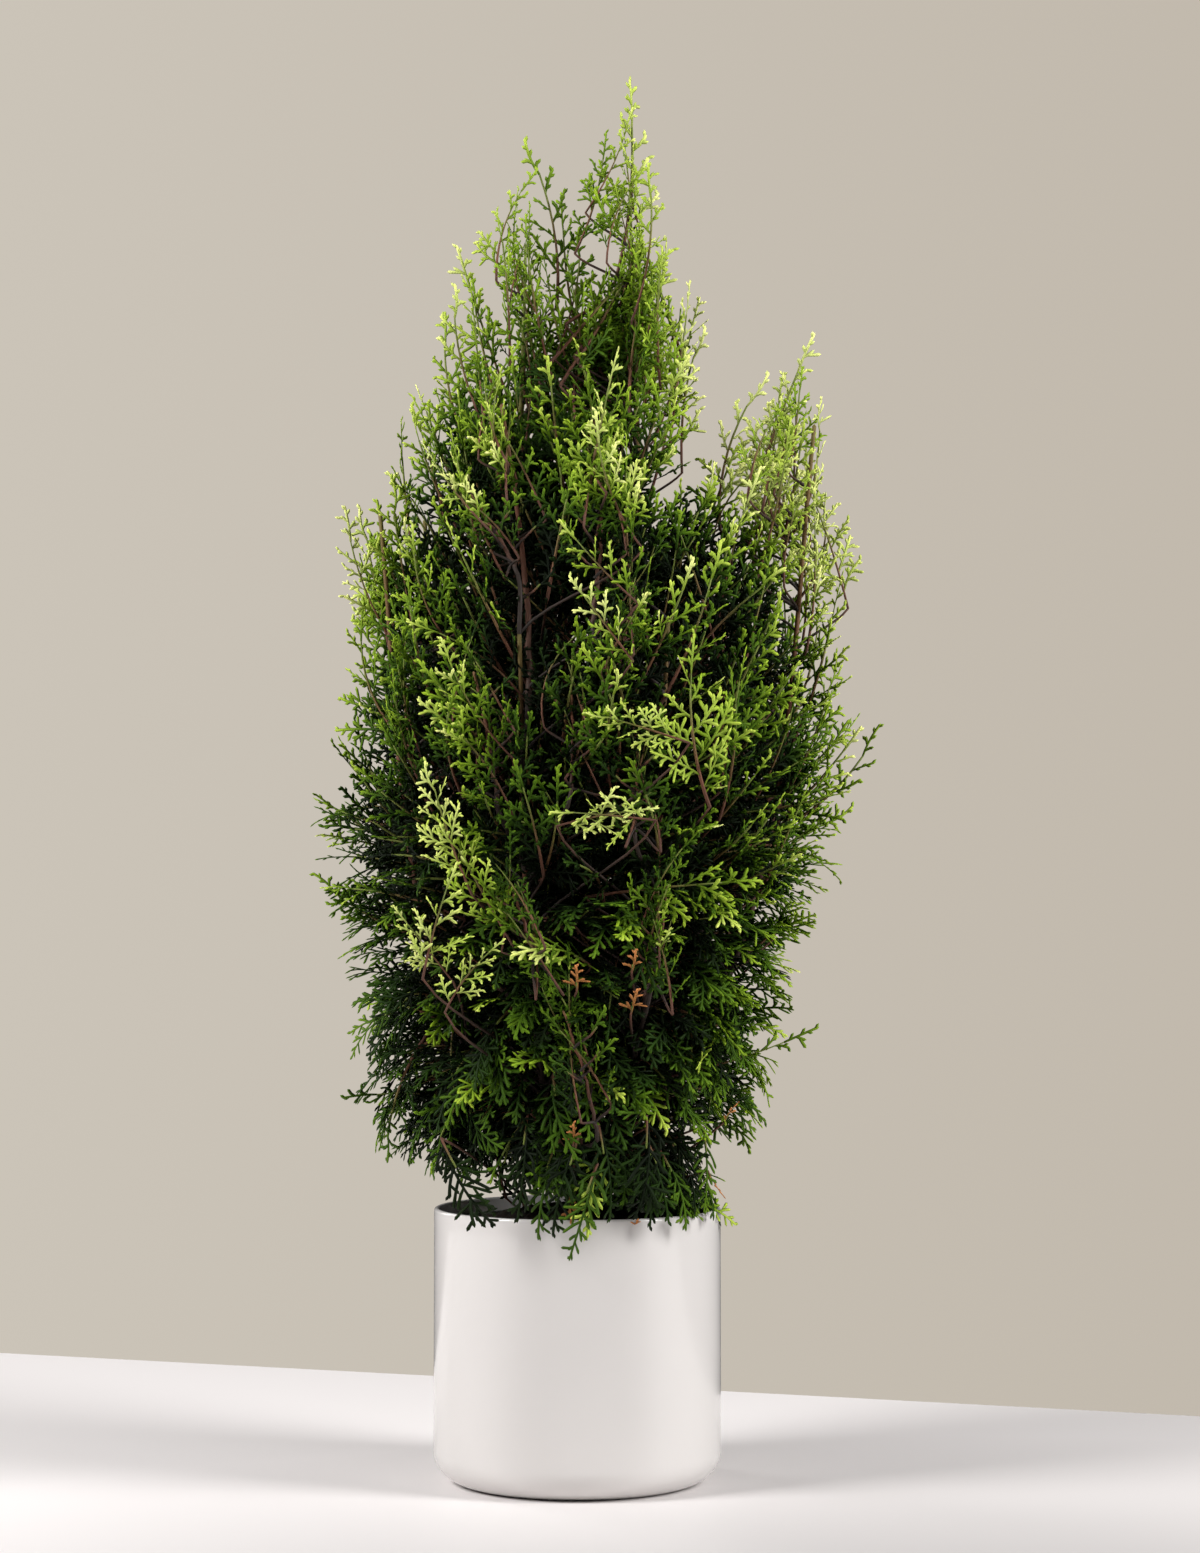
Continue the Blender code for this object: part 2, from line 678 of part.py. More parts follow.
def plate_mesh(name, outline, angle):
    """An upright flat frond of even thickness, from its edge in the plane at this angle about Z."""
    way = outward_at(angle)
    across = sideways_at(angle) * FROND_THICKNESS
    work = bmesh.new()
    near = -across / 2
    corners = [work.verts.new(way * radius + Vector((0.0, 0.0, height)) + near) for radius, height in outline]
    sheet = work.faces.new(corners)
    thickened = bmesh.ops.extrude_face_region(work, geom=[sheet], use_keep_orig=True)
    moved = [item for item in thickened["geom"] if isinstance(item, bmesh.types.BMVert)]
    bmesh.ops.translate(work, vec=across, verts=moved)
    bmesh.ops.recalc_face_normals(work, faces=work.faces)
    return mesh_of(work, name)


def make_skirt(collection, cutters, material):
    """Fixed low sprays: one drooping frond in each plane between two boughs."""
    hole = (TRUNK_RADIUS + CONTACT_GAP) * HOLE_ALLOWANCE
    wall = hole + 2 * SLEEVE_WALL
    profile = [
        (hole, SKIRT_SLEEVE_BOTTOM),
        (wall, SKIRT_SLEEVE_BOTTOM),
        (wall, SKIRT_SLEEVE_TOP),
        (hole, SKIRT_SLEEVE_TOP),
    ]
    skirt = turned("skirt_fronds", profile, ROUND_SIDES, collection, material)
    for number in range(len(BOUGHS)):
        name = f"skirt_frond_{number + 1}"
        plate = plate_mesh(name, skirt_outline(), bough_angle(number) + WEDGE_HALF_ANGLE)
        add_boolean(skirt, helper(name, plate, cutters), "UNION")
    return skirt


def main():
    clear_scene()
    tree = new_collection("artificial_tabletop_tree")
    cutters = new_collection("cutters", hidden=True)
    glaze = new_material("white_glaze", (0.82, 0.80, 0.78), 0.12)
    plastic = new_material("black_plastic", (0.02, 0.02, 0.02), 0.5)
    cement = new_material("grey_cement", (0.35, 0.34, 0.32), 0.9)
    soil = new_material("dark_soil", (0.035, 0.022, 0.014), 1.0)
    bark = new_material("brown_bark", (0.16, 0.07, 0.035), 0.75)
    steel = new_material("pin_steel", (0.45, 0.45, 0.45), 0.3)
    leaf = new_material("cedar_green", (0.10, 0.16, 0.03), 0.55)
    make_planter(tree, glaze)
    make_liner(tree, plastic)
    make_ballast(tree, cement)
    make_soil(tree, soil)
    make_trunk(tree, cutters, bark)
    make_hub(tree, cutters, plastic)
    for number in range(len(BOUGHS)):
        make_pin(number, tree, steel)
        make_bough_stem(number, tree, cutters, bark)
        make_bough_fronds(number, tree, leaf)
    make_skirt(tree, cutters, leaf)
    make_trunk_fronds(tree, leaf)
    make_leader_fronds(1, RIGHT_LEADER_CLUSTERS, tree, leaf)
    make_leader_fronds(-1, LEFT_LEADER_CLUSTERS, tree, leaf)


main()
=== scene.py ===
"""Looks of the artificial tabletop tree: flat cedar sprays on bark-wrapped wire, in a white glazed planter.

Metres, +Z up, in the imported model's frame. -Y is the front.
"""

import math

import bpy
import numpy as np
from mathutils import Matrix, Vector

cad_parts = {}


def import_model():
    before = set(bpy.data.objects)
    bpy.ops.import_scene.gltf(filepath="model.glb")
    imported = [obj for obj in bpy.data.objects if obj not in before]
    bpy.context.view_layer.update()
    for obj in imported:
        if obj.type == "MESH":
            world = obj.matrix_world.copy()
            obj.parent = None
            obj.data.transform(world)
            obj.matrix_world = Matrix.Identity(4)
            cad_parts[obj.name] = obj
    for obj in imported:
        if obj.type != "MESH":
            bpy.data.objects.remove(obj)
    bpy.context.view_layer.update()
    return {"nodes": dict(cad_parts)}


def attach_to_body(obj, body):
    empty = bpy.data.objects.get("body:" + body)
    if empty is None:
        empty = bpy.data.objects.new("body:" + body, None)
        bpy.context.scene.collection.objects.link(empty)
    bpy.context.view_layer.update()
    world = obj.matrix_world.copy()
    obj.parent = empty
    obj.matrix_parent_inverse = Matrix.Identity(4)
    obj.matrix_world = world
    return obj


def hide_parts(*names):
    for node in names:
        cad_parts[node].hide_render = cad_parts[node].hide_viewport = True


# Planter and soil
PLANTER_RADIUS = 0.0635
PLANTER_HEIGHT = 0.120
PLANTER_WALL = 0.0026
PLANTER_FLOOR = 0.004
PLANTER_CORNER = 0.014
PLANTER_SEGMENTS = 192
SOIL_RADIUS = 0.0557
SOIL_EDGE_HEIGHT = 0.111
SOIL_CROWN = 0.010
SOIL_DEPTH = 0.004
SOIL_ROUGHNESS = 0.0012

# Stems, as in the solid model
TRUNK_FOOT = 0.0065
TRUNK_RADIUS = 0.0043
FORK_HEIGHT = 0.269
FORK_RADIUS = 0.003
FORK_LEAN_DEGREES = 18.0
LEADER_RADIUS = 0.0017
LEADER_SPREAD = 0.023
RIGHT_LEADER_TOP = 0.612
LEFT_LEADER_TOP = 0.585
PIN_CIRCLE = 0.0145
PIN_HEIGHT = 0.134
EYE_RADIUS = 0.0028
EYE_WIDTH = 0.0042
EYE_BORE = 0.00115
BOUGH_RADIUS = 0.0016
BOUGH_SWING_DEGREES = 20.0
RIM_CLEARANCE = 0.001
FIRST_BOUGH_DEGREES = -8.0
ROOT_LEAN_DEGREES = 40.0
TOP_LEAN_DEGREES = 6.0
CURVE_HANDLE_SHARE = 0.38
BOUGH_TOPS = (  # distance from the trunk's axis and height of each stem's end
    (0.106, 0.466),
    (0.076, 0.375),
    (0.070, 0.369),
    (0.091, 0.425),
    (0.085, 0.431),
    (0.076, 0.413),
    (0.093, 0.375),
)

# Crown outline: half-widths at a height, to the left and to the right of the trunk
OUTLINE = (  # height, left, right
    (0.100, 0.066, 0.066),
    (0.125, 0.072, 0.076),
    (0.145, 0.090, 0.086),
    (0.172, 0.098, 0.088),
    (0.200, 0.101, 0.096),
    (0.238, 0.110, 0.108),
    (0.265, 0.121, 0.119),
    (0.300, 0.120, 0.126),
    (0.340, 0.113, 0.131),
    (0.385, 0.106, 0.120),
    (0.420, 0.102, 0.096),
    (0.440, 0.096, 0.072),
    (0.480, 0.080, 0.060),
    (0.520, 0.066, 0.056),
    (0.550, 0.058, 0.046),
    (0.600, 0.028, 0.034),
)
DEPTH_SHARE = 0.90  # of the crown's depth to its width

# Shoots whose tips stand out of the crown: bough (0 is the trunk), tip, length
LEADING_SHOOTS = (
    (0, (-0.021, 0.000, 0.600), 0.075),
    (0, (-0.008, 0.012, 0.577), 0.062),
    (0, (-0.035, -0.010, 0.566), 0.070),
    (0, (-0.056, -0.008, 0.549), 0.070),
    (0, (-0.062, 0.004, 0.520), 0.066),
    (0, (-0.047, -0.022, 0.530), 0.064),
    (0, (-0.030, 0.018, 0.550), 0.064),
    (0, (-0.050, -0.004, 0.536), 0.066),
    (0, (-0.042, 0.010, 0.556), 0.062),
    (0, (-0.058, -0.014, 0.530), 0.066),
    (0, (-0.024, -0.012, 0.562), 0.064),
    (0, (-0.016, 0.004, 0.548), 0.060),
    (0, (-0.004, -0.010, 0.544), 0.062),
    (0, (0.004, 0.006, 0.560), 0.062),
    (0, (0.024, 0.000, 0.627), 0.082),
    (0, (0.014, 0.006, 0.604), 0.050),
    (0, (0.034, -0.006, 0.586), 0.064),
    (0, (0.028, 0.012, 0.560), 0.060),
    (0, (0.036, -0.014, 0.548), 0.062),
    (0, (0.046, 0.004, 0.520), 0.062),
    (0, (0.054, -0.014, 0.512), 0.064),
    (0, (0.050, -0.010, 0.533), 0.066),
    (0, (0.056, 0.006, 0.528), 0.060),
    (0, (0.044, -0.022, 0.505), 0.064),
    (1, (0.106, -0.014, 0.508), 0.070),
    (1, (0.082, -0.022, 0.490), 0.070),
    (1, (0.111, -0.010, 0.479), 0.062),
    (1, (0.107, 0.004, 0.452), 0.060),
    (1, (0.094, -0.030, 0.468), 0.064),
    (1, (0.070, -0.016, 0.458), 0.060),
    (1, (0.098, 0.012, 0.472), 0.062),
    (1, (0.088, -0.012, 0.448), 0.066),
    (1, (0.104, -0.026, 0.440), 0.066),
    (1, (0.080, -0.034, 0.446), 0.066),
    (1, (0.100, -0.004, 0.430), 0.064),
    (1, (0.092, -0.004, 0.462), 0.066),
    (2, (0.058, -0.050, 0.440), 0.066),
    (2, (0.040, -0.060, 0.432), 0.066),
    (1, (0.118, -0.016, 0.402), 0.066),
    (1, (0.137, -0.010, 0.333), 0.070),
    (1, (0.106, -0.024, 0.200), 0.062),
    (7, (0.112, 0.034, 0.392), 0.064),
    (4, (-0.080, -0.030, 0.446), 0.070),
    (4, (-0.105, -0.024, 0.429), 0.062),
    (4, (-0.092, -0.010, 0.434), 0.066),
    (4, (-0.119, -0.016, 0.266), 0.062),
    (4, (-0.104, -0.020, 0.170), 0.060),
    (5, (-0.070, 0.020, 0.479), 0.070),
    (5, (-0.086, 0.026, 0.452), 0.068),
)

# The lower peak at the crown's right: middle of its foot and of its top, half-width at the foot
SIDE_PEAK = ((0.084, -0.014, 0.436), (0.101, -0.012, 0.496))
SIDE_PEAK_WIDTH = 0.016
SIDE_PEAK_SHOOTS = 20
SIDE_PEAK_DEPTH = 0.6  # as a share of the crown's radius, for the painted shade in the shoots' tint

# Where extra shoots close the upper front: sideways places and heights
UPPER_FRONT = ((-0.062, 0.070), (0.395, 0.500))
UPPER_FRONT_SHOOTS = 60

# Drooping sprigs that hang in front of the planter's rim: sideways place and height of the tip
RIM_SPRIGS = (
    (-0.034, 0.118),
    (-0.026, 0.119),
    (-0.017, 0.112),
    (-0.010, 0.113),
    (-0.004, 0.104),
    (0.004, 0.112),
    (0.013, 0.119),
    (0.023, 0.120),
    (0.031, 0.115),
    (0.039, 0.117),
    (0.046, 0.114),
    (0.054, 0.121),
)

# Bare lengths of stem that show at the front: bough, foot, tip, radius
BARE_STEMS = (
    (3, (-0.021, -0.066, 0.340), (-0.033, -0.048, 0.470), 0.0016),
    (3, (-0.027, -0.062, 0.398), (-0.049, -0.058, 0.434), 0.0010),
    (2, (0.006, -0.070, 0.372), (0.010, -0.052, 0.452), 0.0012),
    (2, (0.012, -0.076, 0.340), (0.024, -0.070, 0.386), 0.0010),
    (3, (-0.034, -0.080, 0.296), (-0.044, -0.074, 0.352), 0.0012),
    (3, (-0.003, -0.084, 0.300), (-0.003, -0.080, 0.346), 0.0009),
    (2, (0.024, -0.084, 0.284), (0.025, -0.082, 0.318), 0.0009),
    (3, (-0.018, -0.084, 0.230), (-0.027, -0.086, 0.258), 0.0010),
    (2, (0.031, -0.080, 0.220), (0.037, -0.082, 0.258), 0.0010),
    (3, (0.008, -0.076, 0.160), (-0.006, -0.084, 0.209), 0.0009),
)

# Fans at the front that face the light, with a pale tint as painted light: sideways place, height of the tip,
# lean from upright, length
BRIGHT_FANS = (
    (-0.082, 0.442, -14, 0.060),
    (-0.074, 0.418, -20, 0.052),
    (0.004, 0.466, -16, 0.056),
    (0.018, 0.458, 12, 0.052),
    (-0.008, 0.416, -48, 0.044),
    (-0.004, 0.392, -40, 0.042),
    (-0.072, 0.376, -50, 0.052),
    (-0.060, 0.366, -30, 0.050),
    (-0.066, 0.342, -34, 0.056),
    (-0.064, 0.316, -20, 0.052),
    (-0.058, 0.290, -26, 0.052),
    (-0.050, 0.272, 10, 0.046),
    (0.002, 0.334, -72, 0.036),
    (0.034, 0.294, 78, 0.040),
    (-0.012, 0.292, -82, 0.040),
    (-0.078, 0.254, -40, 0.034),
    (-0.030, 0.240, 30, 0.034),
)

# Dead tips, on the boughs and on the fixed low fronds: sideways place and height
DEAD_TIPS = ((0.024, 0.236), (0.025, 0.219), (-0.001, 0.229))
LOW_DEAD_TIPS = ((-0.002, 0.163), (0.070, 0.170), (0.026, 0.121), (0.064, 0.127), (-0.002, 0.119))

# Painted shade on the table, a greyer patch in front of the planter: middle of that patch, where it starts to
# fade and ends
PAINTED_SHADE_CENTRE = (0.15, -0.50, 0.0)
PAINTED_SHADE_RADII = (0.16, 0.62)

# Scale-leaf branchlets
BRANCHLET_WIDTH = 0.0015
BRANCHLET_FLATNESS = 0.40
SCALE_LENGTH = 0.0029
SCALE_NECK = 0.88
SHOOT_SPACING = 0.0058
SIDE_SPACING = 0.0026
TWIG_SPACING = 0.0024
UNSHADED_DEPTH = 0.005  # under the crown's outside, where leaves still get no painted shade
# Depth over which the painted shade on leaves inside the crown grows from none to full
PAINTED_SHADE_SPAN = 0.027
TINT_BAND = 0.005  # width in the palette of one branchlet's tint
DEAD_TINT = 0.965
# The lowest tint gives near-black leaves, as painted shade.
DEEP_SHADE_TINT, YELLOWEST = 0.03, 0.88
FRESH_SHARE = 0.12  # of the shoots, which are paler than the rest
FRESH_TINT = 0.34
RIGHT_PAINTED_LIGHT = 0.22  # painted light: how much paler and yellower the crown's right side is made

# How steeply the shoots rise at a height
RISE_HEIGHTS = (0.12, 0.18, 0.25, 0.31, 0.37, 0.45, 0.55)
RISE_DEGREES = (-52, -38, -6, 34, 54, 68, 78)

# Where the front of the crown stands open in front of a bare stem
FRONT_WINDOWS = (  # sideways place, half-width, lowest and highest
    (-0.028, 0.014, 0.350, 0.455),
    (0.008, 0.008, 0.380, 0.440),
    (-0.038, 0.008, 0.305, 0.345),
    (-0.022, 0.009, 0.225, 0.262),
    (0.034, 0.008, 0.225, 0.262),
)

CLUSTER_LEVELS = (  # heights that part each bough's foliage into the solid model's clusters
    (0.25, 0.35, 1.0),
    (0.26, 1.0),
    (0.26, 1.0),
    (0.24, 0.33, 1.0),
    (0.24, 0.33, 1.0),
    (0.28, 1.0),
    (0.26, 1.0),
)

# Shoots: shortest, longest, fans' share of the length, roll of the fans in degrees, sparseness, how many
SHOOT_KINDS = {
    "broad": (0.062, 0.072, 0.52, 30, 1.0, 8),
    "middle": (0.050, 0.060, 0.50, 34, 1.0, 8),
    "plume": (0.062, 0.076, 0.38, 46, 1.1, 8),
    "inner": (0.050, 0.060, 0.52, 40, 1.5, 4),
}
FROND_LENGTHS = (0.036, 0.050)
FROND_BREADTHS = (0.34, 0.42)  # as a share of the length
SMALL_FAN_LENGTHS = (0.014, 0.020)
SMALL_FAN_BREADTH = 0.45
SHOOT_AXIS_SHARE = 0.86  # of a shoot's length, below the fan at its end
FAN_DEGREES = 46  # of a fan from the twig that carries it
SIDE_DEGREES = 50  # of a fan's side branchlets from its axis
TWIG_DEGREES = 38  # of the last strips from a side branchlet
FACING_SPREAD = 48  # degrees by which shoots turn from facing outward
GOLDEN_TURN = 2.4  # radians from one shoot to the next, close to the golden angle
GOLDEN_SHARE = 0.618

BOUGH_SHOOTS = 130
BOUGH_INNER_SHOOTS = 14
CROWN_SHOOTS = 150
PEAK_SHOOTS = 15
CORE_SHOOTS = 60
SKIRT_SHOOTS = 205
PEAK_HEIGHTS = (0.618, 0.592)  # right and left

# Colours by place in a ramp
# Leaf tints: the near-black low end is painted shade, the palest yellow-green stops are partly fresh growth
# and partly painted light, the last stop is dead brown.
LEAF_HUES = (
    (0.00, (0.003, 0.008, 0.001)),
    (0.12, (0.015, 0.042, 0.002)),
    (0.30, (0.062, 0.134, 0.005)),
    (0.55, (0.228, 0.362, 0.020)),
    (0.75, (0.445, 0.575, 0.088)),
    (0.91, (0.740, 0.800, 0.300)),
    (0.94, (0.480, 0.200, 0.070)),
)
LEAF_TONES = (
    (0.00, (0.32, 0.30, 0.22)),
    (0.30, (0.56, 0.60, 0.48)),
    (0.70, (0.95, 0.95, 0.88)),
    (1.00, (1.50, 1.40, 1.30)),
)
# Bark tints by age: the near-black lowest stops, on stem and twig feet deep in the crown, are painted shade;
# then reddish-brown bark and green young twigs.
BARK_HUES = (
    (0.00, (0.012, 0.007, 0.004)),
    (0.25, (0.035, 0.016, 0.009)),
    (0.50, (0.150, 0.052, 0.026)),
    (0.70, (0.140, 0.085, 0.022)),
    (0.90, (0.150, 0.200, 0.025)),
)
BARK_TONES = ((0.0, (0.62, 0.62, 0.62)), (1.0, (1.25, 1.2, 1.15)))
GLAZE_COLOURS = ((0.3, (0.66, 0.636, 0.621)), (0.7, (0.69, 0.666, 0.651)))
STEEL_COLOURS = ((0.3, (0.42, 0.42, 0.42)), (0.7, (0.55, 0.55, 0.55)))
# Table colour from the middle of the painted shade patch out to the pale table
TABLE_COLOURS = ((0.0, (0.40, 0.384, 0.381)), (1.0, (0.92, 0.882, 0.878)))
# Backdrop seen by the camera, with painted light: paler to the left, darker to the right
WALL_COLOURS = ((0.0, (0.604, 0.558, 0.487)), (1.0, (0.533, 0.482, 0.412)))
WALL_HALF_SPREAD = 0.22

# Table top: its far edge's two ends, its near edge and its thickness
TABLE_FAR_EDGE = ((-2.0, 1.03), (2.0, -0.447))
TABLE_NEAR = -3.0
TABLE_THICKNESS = 0.04

AMBIENT_STRENGTH = 0.035
LIGHTS = (  # name, place, target, size, power, colour
    ("window_left", (-1.25, -0.62, 1.15), (0.0, 0.0, 0.28), (0.55, 0.75), 29.0, (1.0, 0.99, 0.98)),
    ("window_right", (1.3, -0.56, 0.95), (0.0, 0.0, 0.28), (0.5, 1.0), 28.0, (1.0, 0.99, 0.98)),
    ("rim_left", (-1.05, 0.95, 0.7), (0.0, 0.0, 0.25), (0.4, 1.0), 4.5, (1.0, 0.98, 0.96)),
    ("overhead", (0.0, -0.5, 1.9), (0.0, -0.1, 0.0), (1.4, 1.4), 3.5, (1.0, 1.0, 1.0)),
)

CAMERA_SENSOR = 36.0
CAMERA_LENS = 74.9
CAMERA_DISTANCE = 1.44
CAMERA_HEIGHT = 0.2505
CAMERA_AIM = (0.010, 0.311)  # sideways place and height in the middle of the picture

UP = np.array((0.0, 0.0, 1.0))
SEED = 615


def unit(vector):
    return vector / np.linalg.norm(vector)


def add_object(name, data):
    obj = bpy.data.objects.new(name, data)
    bpy.context.scene.collection.objects.link(obj)
    return obj


def arc_points(centre, radius, start_degrees, end_degrees, steps):
    """Points of an arc in the (radius, height) plane."""
    angles = np.radians(np.linspace(start_degrees, end_degrees, steps + 1))
    return [(centre[0] + radius * math.cos(a), centre[1] + radius * math.sin(a)) for a in angles]


def curve_point(ends, share):
    first, second, third, last = ends
    rest = 1.0 - share
    return first * rest**3 + second * 3 * rest**2 * share + third * 3 * rest * share**2 + last * share**3


def curve_direction(ends, share):
    first, second, third, last = ends
    rest = 1.0 - share
    slope = (second - first) * rest**2 + (third - second) * 2 * rest * share + (last - third) * share**2
    return unit(slope)


def stem_curve(foot, top, outward, root_lean_degrees, top_lean_degrees):
    handle = CURVE_HANDLE_SHARE * np.linalg.norm(top - foot)
    root_lean = math.radians(root_lean_degrees)
    top_lean = math.radians(top_lean_degrees)
    root_way = outward * math.sin(root_lean) + UP * math.cos(root_lean)
    top_way = outward * math.sin(top_lean) + UP * math.cos(top_lean)
    return foot, foot + root_way * handle, top - top_way * handle, top


def bough_angle(number):
    return math.radians(FIRST_BOUGH_DEGREES) - 2 * math.pi * number / len(BOUGH_TOPS)


def outward_at(angle):
    return np.array((math.cos(angle), math.sin(angle), 0.0))


def bough_curve(number):
    reach, height = BOUGH_TOPS[number]
    outward = outward_at(bough_angle(number))
    foot = outward * PIN_CIRCLE + UP * PIN_HEIGHT
    top = outward * reach + UP * height
    return stem_curve(foot, top, outward, ROOT_LEAN_DEGREES, TOP_LEAN_DEGREES)


def leader_curve(sign, top_height):
    outward = np.array((float(sign), 0.0, 0.0))
    foot = UP * (FORK_HEIGHT - FORK_RADIUS)
    top = outward * LEADER_SPREAD + UP * top_height
    return stem_curve(foot, top, outward, FORK_LEAN_DEGREES, 0.0)


def half_widths(height):
    """The crown's half-widths at one height or at many: left and right."""
    heights, lefts, rights = zip(*OUTLINE)
    return np.interp(height, heights, lefts), np.interp(height, heights, rights)


def outline_radius(angle, height):
    """Distance of the crown's outside from the trunk's axis, in a direction and at a height."""
    left, right = half_widths(height)
    across = math.cos(angle)
    side = right if across > 0 else left
    depth = DEPTH_SHARE * (left + right) / 2
    return side * across**2 + depth * (1.0 - across**2)


def painted_shade_share(points):
    """How deep points lie under the crown's outside, as the amount of painted shade on leaves: 0 at the
    surface, 1 well inside.
    """
    across, height = points[:, 0], points[:, 2]
    left, right = half_widths(height)
    distance = np.hypot(across, points[:, 1])
    sideways = (across / np.maximum(distance, 1e-6)) ** 2
    outside = np.where(across > 0, right, left) * sideways + DEPTH_SHARE * (left + right) / 2 * (1 - sideways)
    aloft = np.interp(height, (0.42, 0.52), (1.0, 0.45))
    return aloft * np.clip((outside - distance - UNSHADED_DEPTH) / PAINTED_SHADE_SPAN, 0.0, 1.0)


class Soup:
    """Triangles gathered from many small shapes into one mesh."""

    def __init__(self):
        self.points = []
        self.corners = []
        self.palette = []
        self.count = 0

    def add(self, points, corners, palette):
        self.points.append(points)
        self.corners.append(corners + self.count)
        self.palette.append(palette)
        self.count += len(points)

    def joined(self):
        return np.concatenate(self.points), np.concatenate(self.corners), np.concatenate(self.palette)

    def build(self, name, material):
        points, corners, palette = self.joined()
        points = points.astype(np.float32)
        corners = corners.astype(np.int32)
        palette = np.clip(palette, 0.001, 0.999).astype(np.float32)
        mesh = bpy.data.meshes.new(name)
        mesh.vertices.add(len(points))
        mesh.vertices.foreach_set("co", points.ravel())
        mesh.loops.add(corners.size)
        mesh.loops.foreach_set("vertex_index", corners.ravel())
        mesh.polygons.add(len(corners))
        mesh.polygons.foreach_set("loop_start", np.arange(0, corners.size, 3, dtype=np.int32))
        mesh.polygons.foreach_set("use_smooth", np.ones(len(corners), bool))
        layer = mesh.uv_layers.new(name="OFBake")
        layer.data.foreach_set("uv", palette[corners.ravel()].ravel())
        mesh.update(calc_edges=True)
        mesh.validate()
        mesh.materials.append(material)
        return add_object(name, mesh)


def ring_corners(rings, sides):
    """Triangles joining rings of points, and closing the last ring on one more point."""
    found = []
    for ring in range(rings - 1):
        for side in range(sides):
            after = (side + 1) % sides
            low, high = ring * sides, (ring + 1) * sides
            found.append((low + side, low + after, high + after))
            found.append((low + side, high + after, high + side))
    tip = rings * sides
    last = (rings - 1) * sides
    for side in range(sides):
        found.append((last + side, last + (side + 1) % sides, tip))
    return np.array(found)


def branchlet(path, width, age_start, age_end, tint):
    """A flattened strip of scale leaves along a path near the spray's plane, with a blunt end."""
    length = float(np.linalg.norm(np.diff(path, axis=0), axis=1).sum())
    rings = max(2, int(round(length / SCALE_LENGTH)))
    share = np.append(np.linspace(0.0, 1.0 - 0.8 * width / length, rings), 1.0)
    along = np.linspace(0.0, 1.0, len(path))
    centres = np.stack([np.interp(share, along, path[:, k]) for k in range(3)], axis=1)
    way = np.gradient(centres, axis=0)
    way /= np.linalg.norm(way, axis=1, keepdims=True)
    across = np.stack([way[:, 1], -way[:, 0], np.zeros(rings + 1)], axis=1)
    across /= np.linalg.norm(across, axis=1, keepdims=True)
    normal = np.cross(way, across)
    body = centres[:-1]
    taper = (0.85 + 0.22 * share[:-1]) * np.where(np.arange(rings) % 2, 1.0, SCALE_NECK if rings > 2 else 0.9)
    half = (width / 2 * taper)[:, None]
    sides = (across[:-1] * half, normal[:-1] * half * BRANCHLET_FLATNESS)
    ring = np.stack([body - sides[0], body + sides[1], body + sides[0], body - sides[1]], axis=1)
    points = np.concatenate([ring.reshape(-1, 3), centres[-1:]])
    age = np.repeat(age_start + (age_end - age_start) * share[:-1], 4)
    band = np.tile((-TINT_BAND, 0.0, TINT_BAND, 0.0), rings)
    palette = np.stack([np.append(age, age_end), np.append(tint + band, tint)], axis=1)
    return points, ring_corners(rings, 4), palette


def bent_path(start, way_degrees, end_degrees, length, tilt, steps=5):
    """A path in the spray's plane whose direction turns evenly, rising out of the plane by tilt."""
    angles = np.radians(np.linspace(way_degrees, end_degrees, steps))
    step = length / (steps - 1)
    moves = np.stack([np.sin(angles), np.cos(angles), np.full(steps, tilt)], axis=1)[:-1] * step
    return np.concatenate([start[None], start + np.cumsum(moves, axis=0)])


def point_along(path, share):
    shares = np.linspace(0.0, 1.0, len(path))
    return np.array([np.interp(share, shares, path[:, k]) for k in range(3)])


def heading_along(path, share):
    """Direction of a path in the spray's plane, in degrees from +Y."""
    index = min(len(path) - 2, int(share * (len(path) - 1)))
    way = path[index + 1] - path[index]
    return math.degrees(math.atan2(way[0], way[1]))


def add_twigs(soup, rng, path, side, young, tint, sparseness):
    """The last order of branching: short strips on both sides of a side shoot."""
    length = float(np.linalg.norm(np.diff(path, axis=0), axis=1).sum())
    position = TWIG_SPACING * rng.uniform(0.8, 1.2)
    turn = side
    while position < length - 0.0012:
        share = position / length
        opening = turn * rng.normal(TWIG_DEGREES, 6)
        heading = heading_along(path, share)
        reach = min(0.0090, 0.85 * (length - position) + 0.0026) * rng.uniform(0.5, 1.15)
        foot = point_along(path, share)
        twig = bent_path(foot, heading + opening, heading + opening * 0.6, reach, rng.normal(0, 0.20), 3)
        age_end = min(0.98, young + 0.35)
        width = BRANCHLET_WIDTH * rng.uniform(0.86, 1.06)
        soup.add(*branchlet(twig, width, young, age_end, tint + rng.normal(0, 0.02)))
        turn = -turn
        position += TWIG_SPACING * sparseness * rng.uniform(0.75, 1.35)


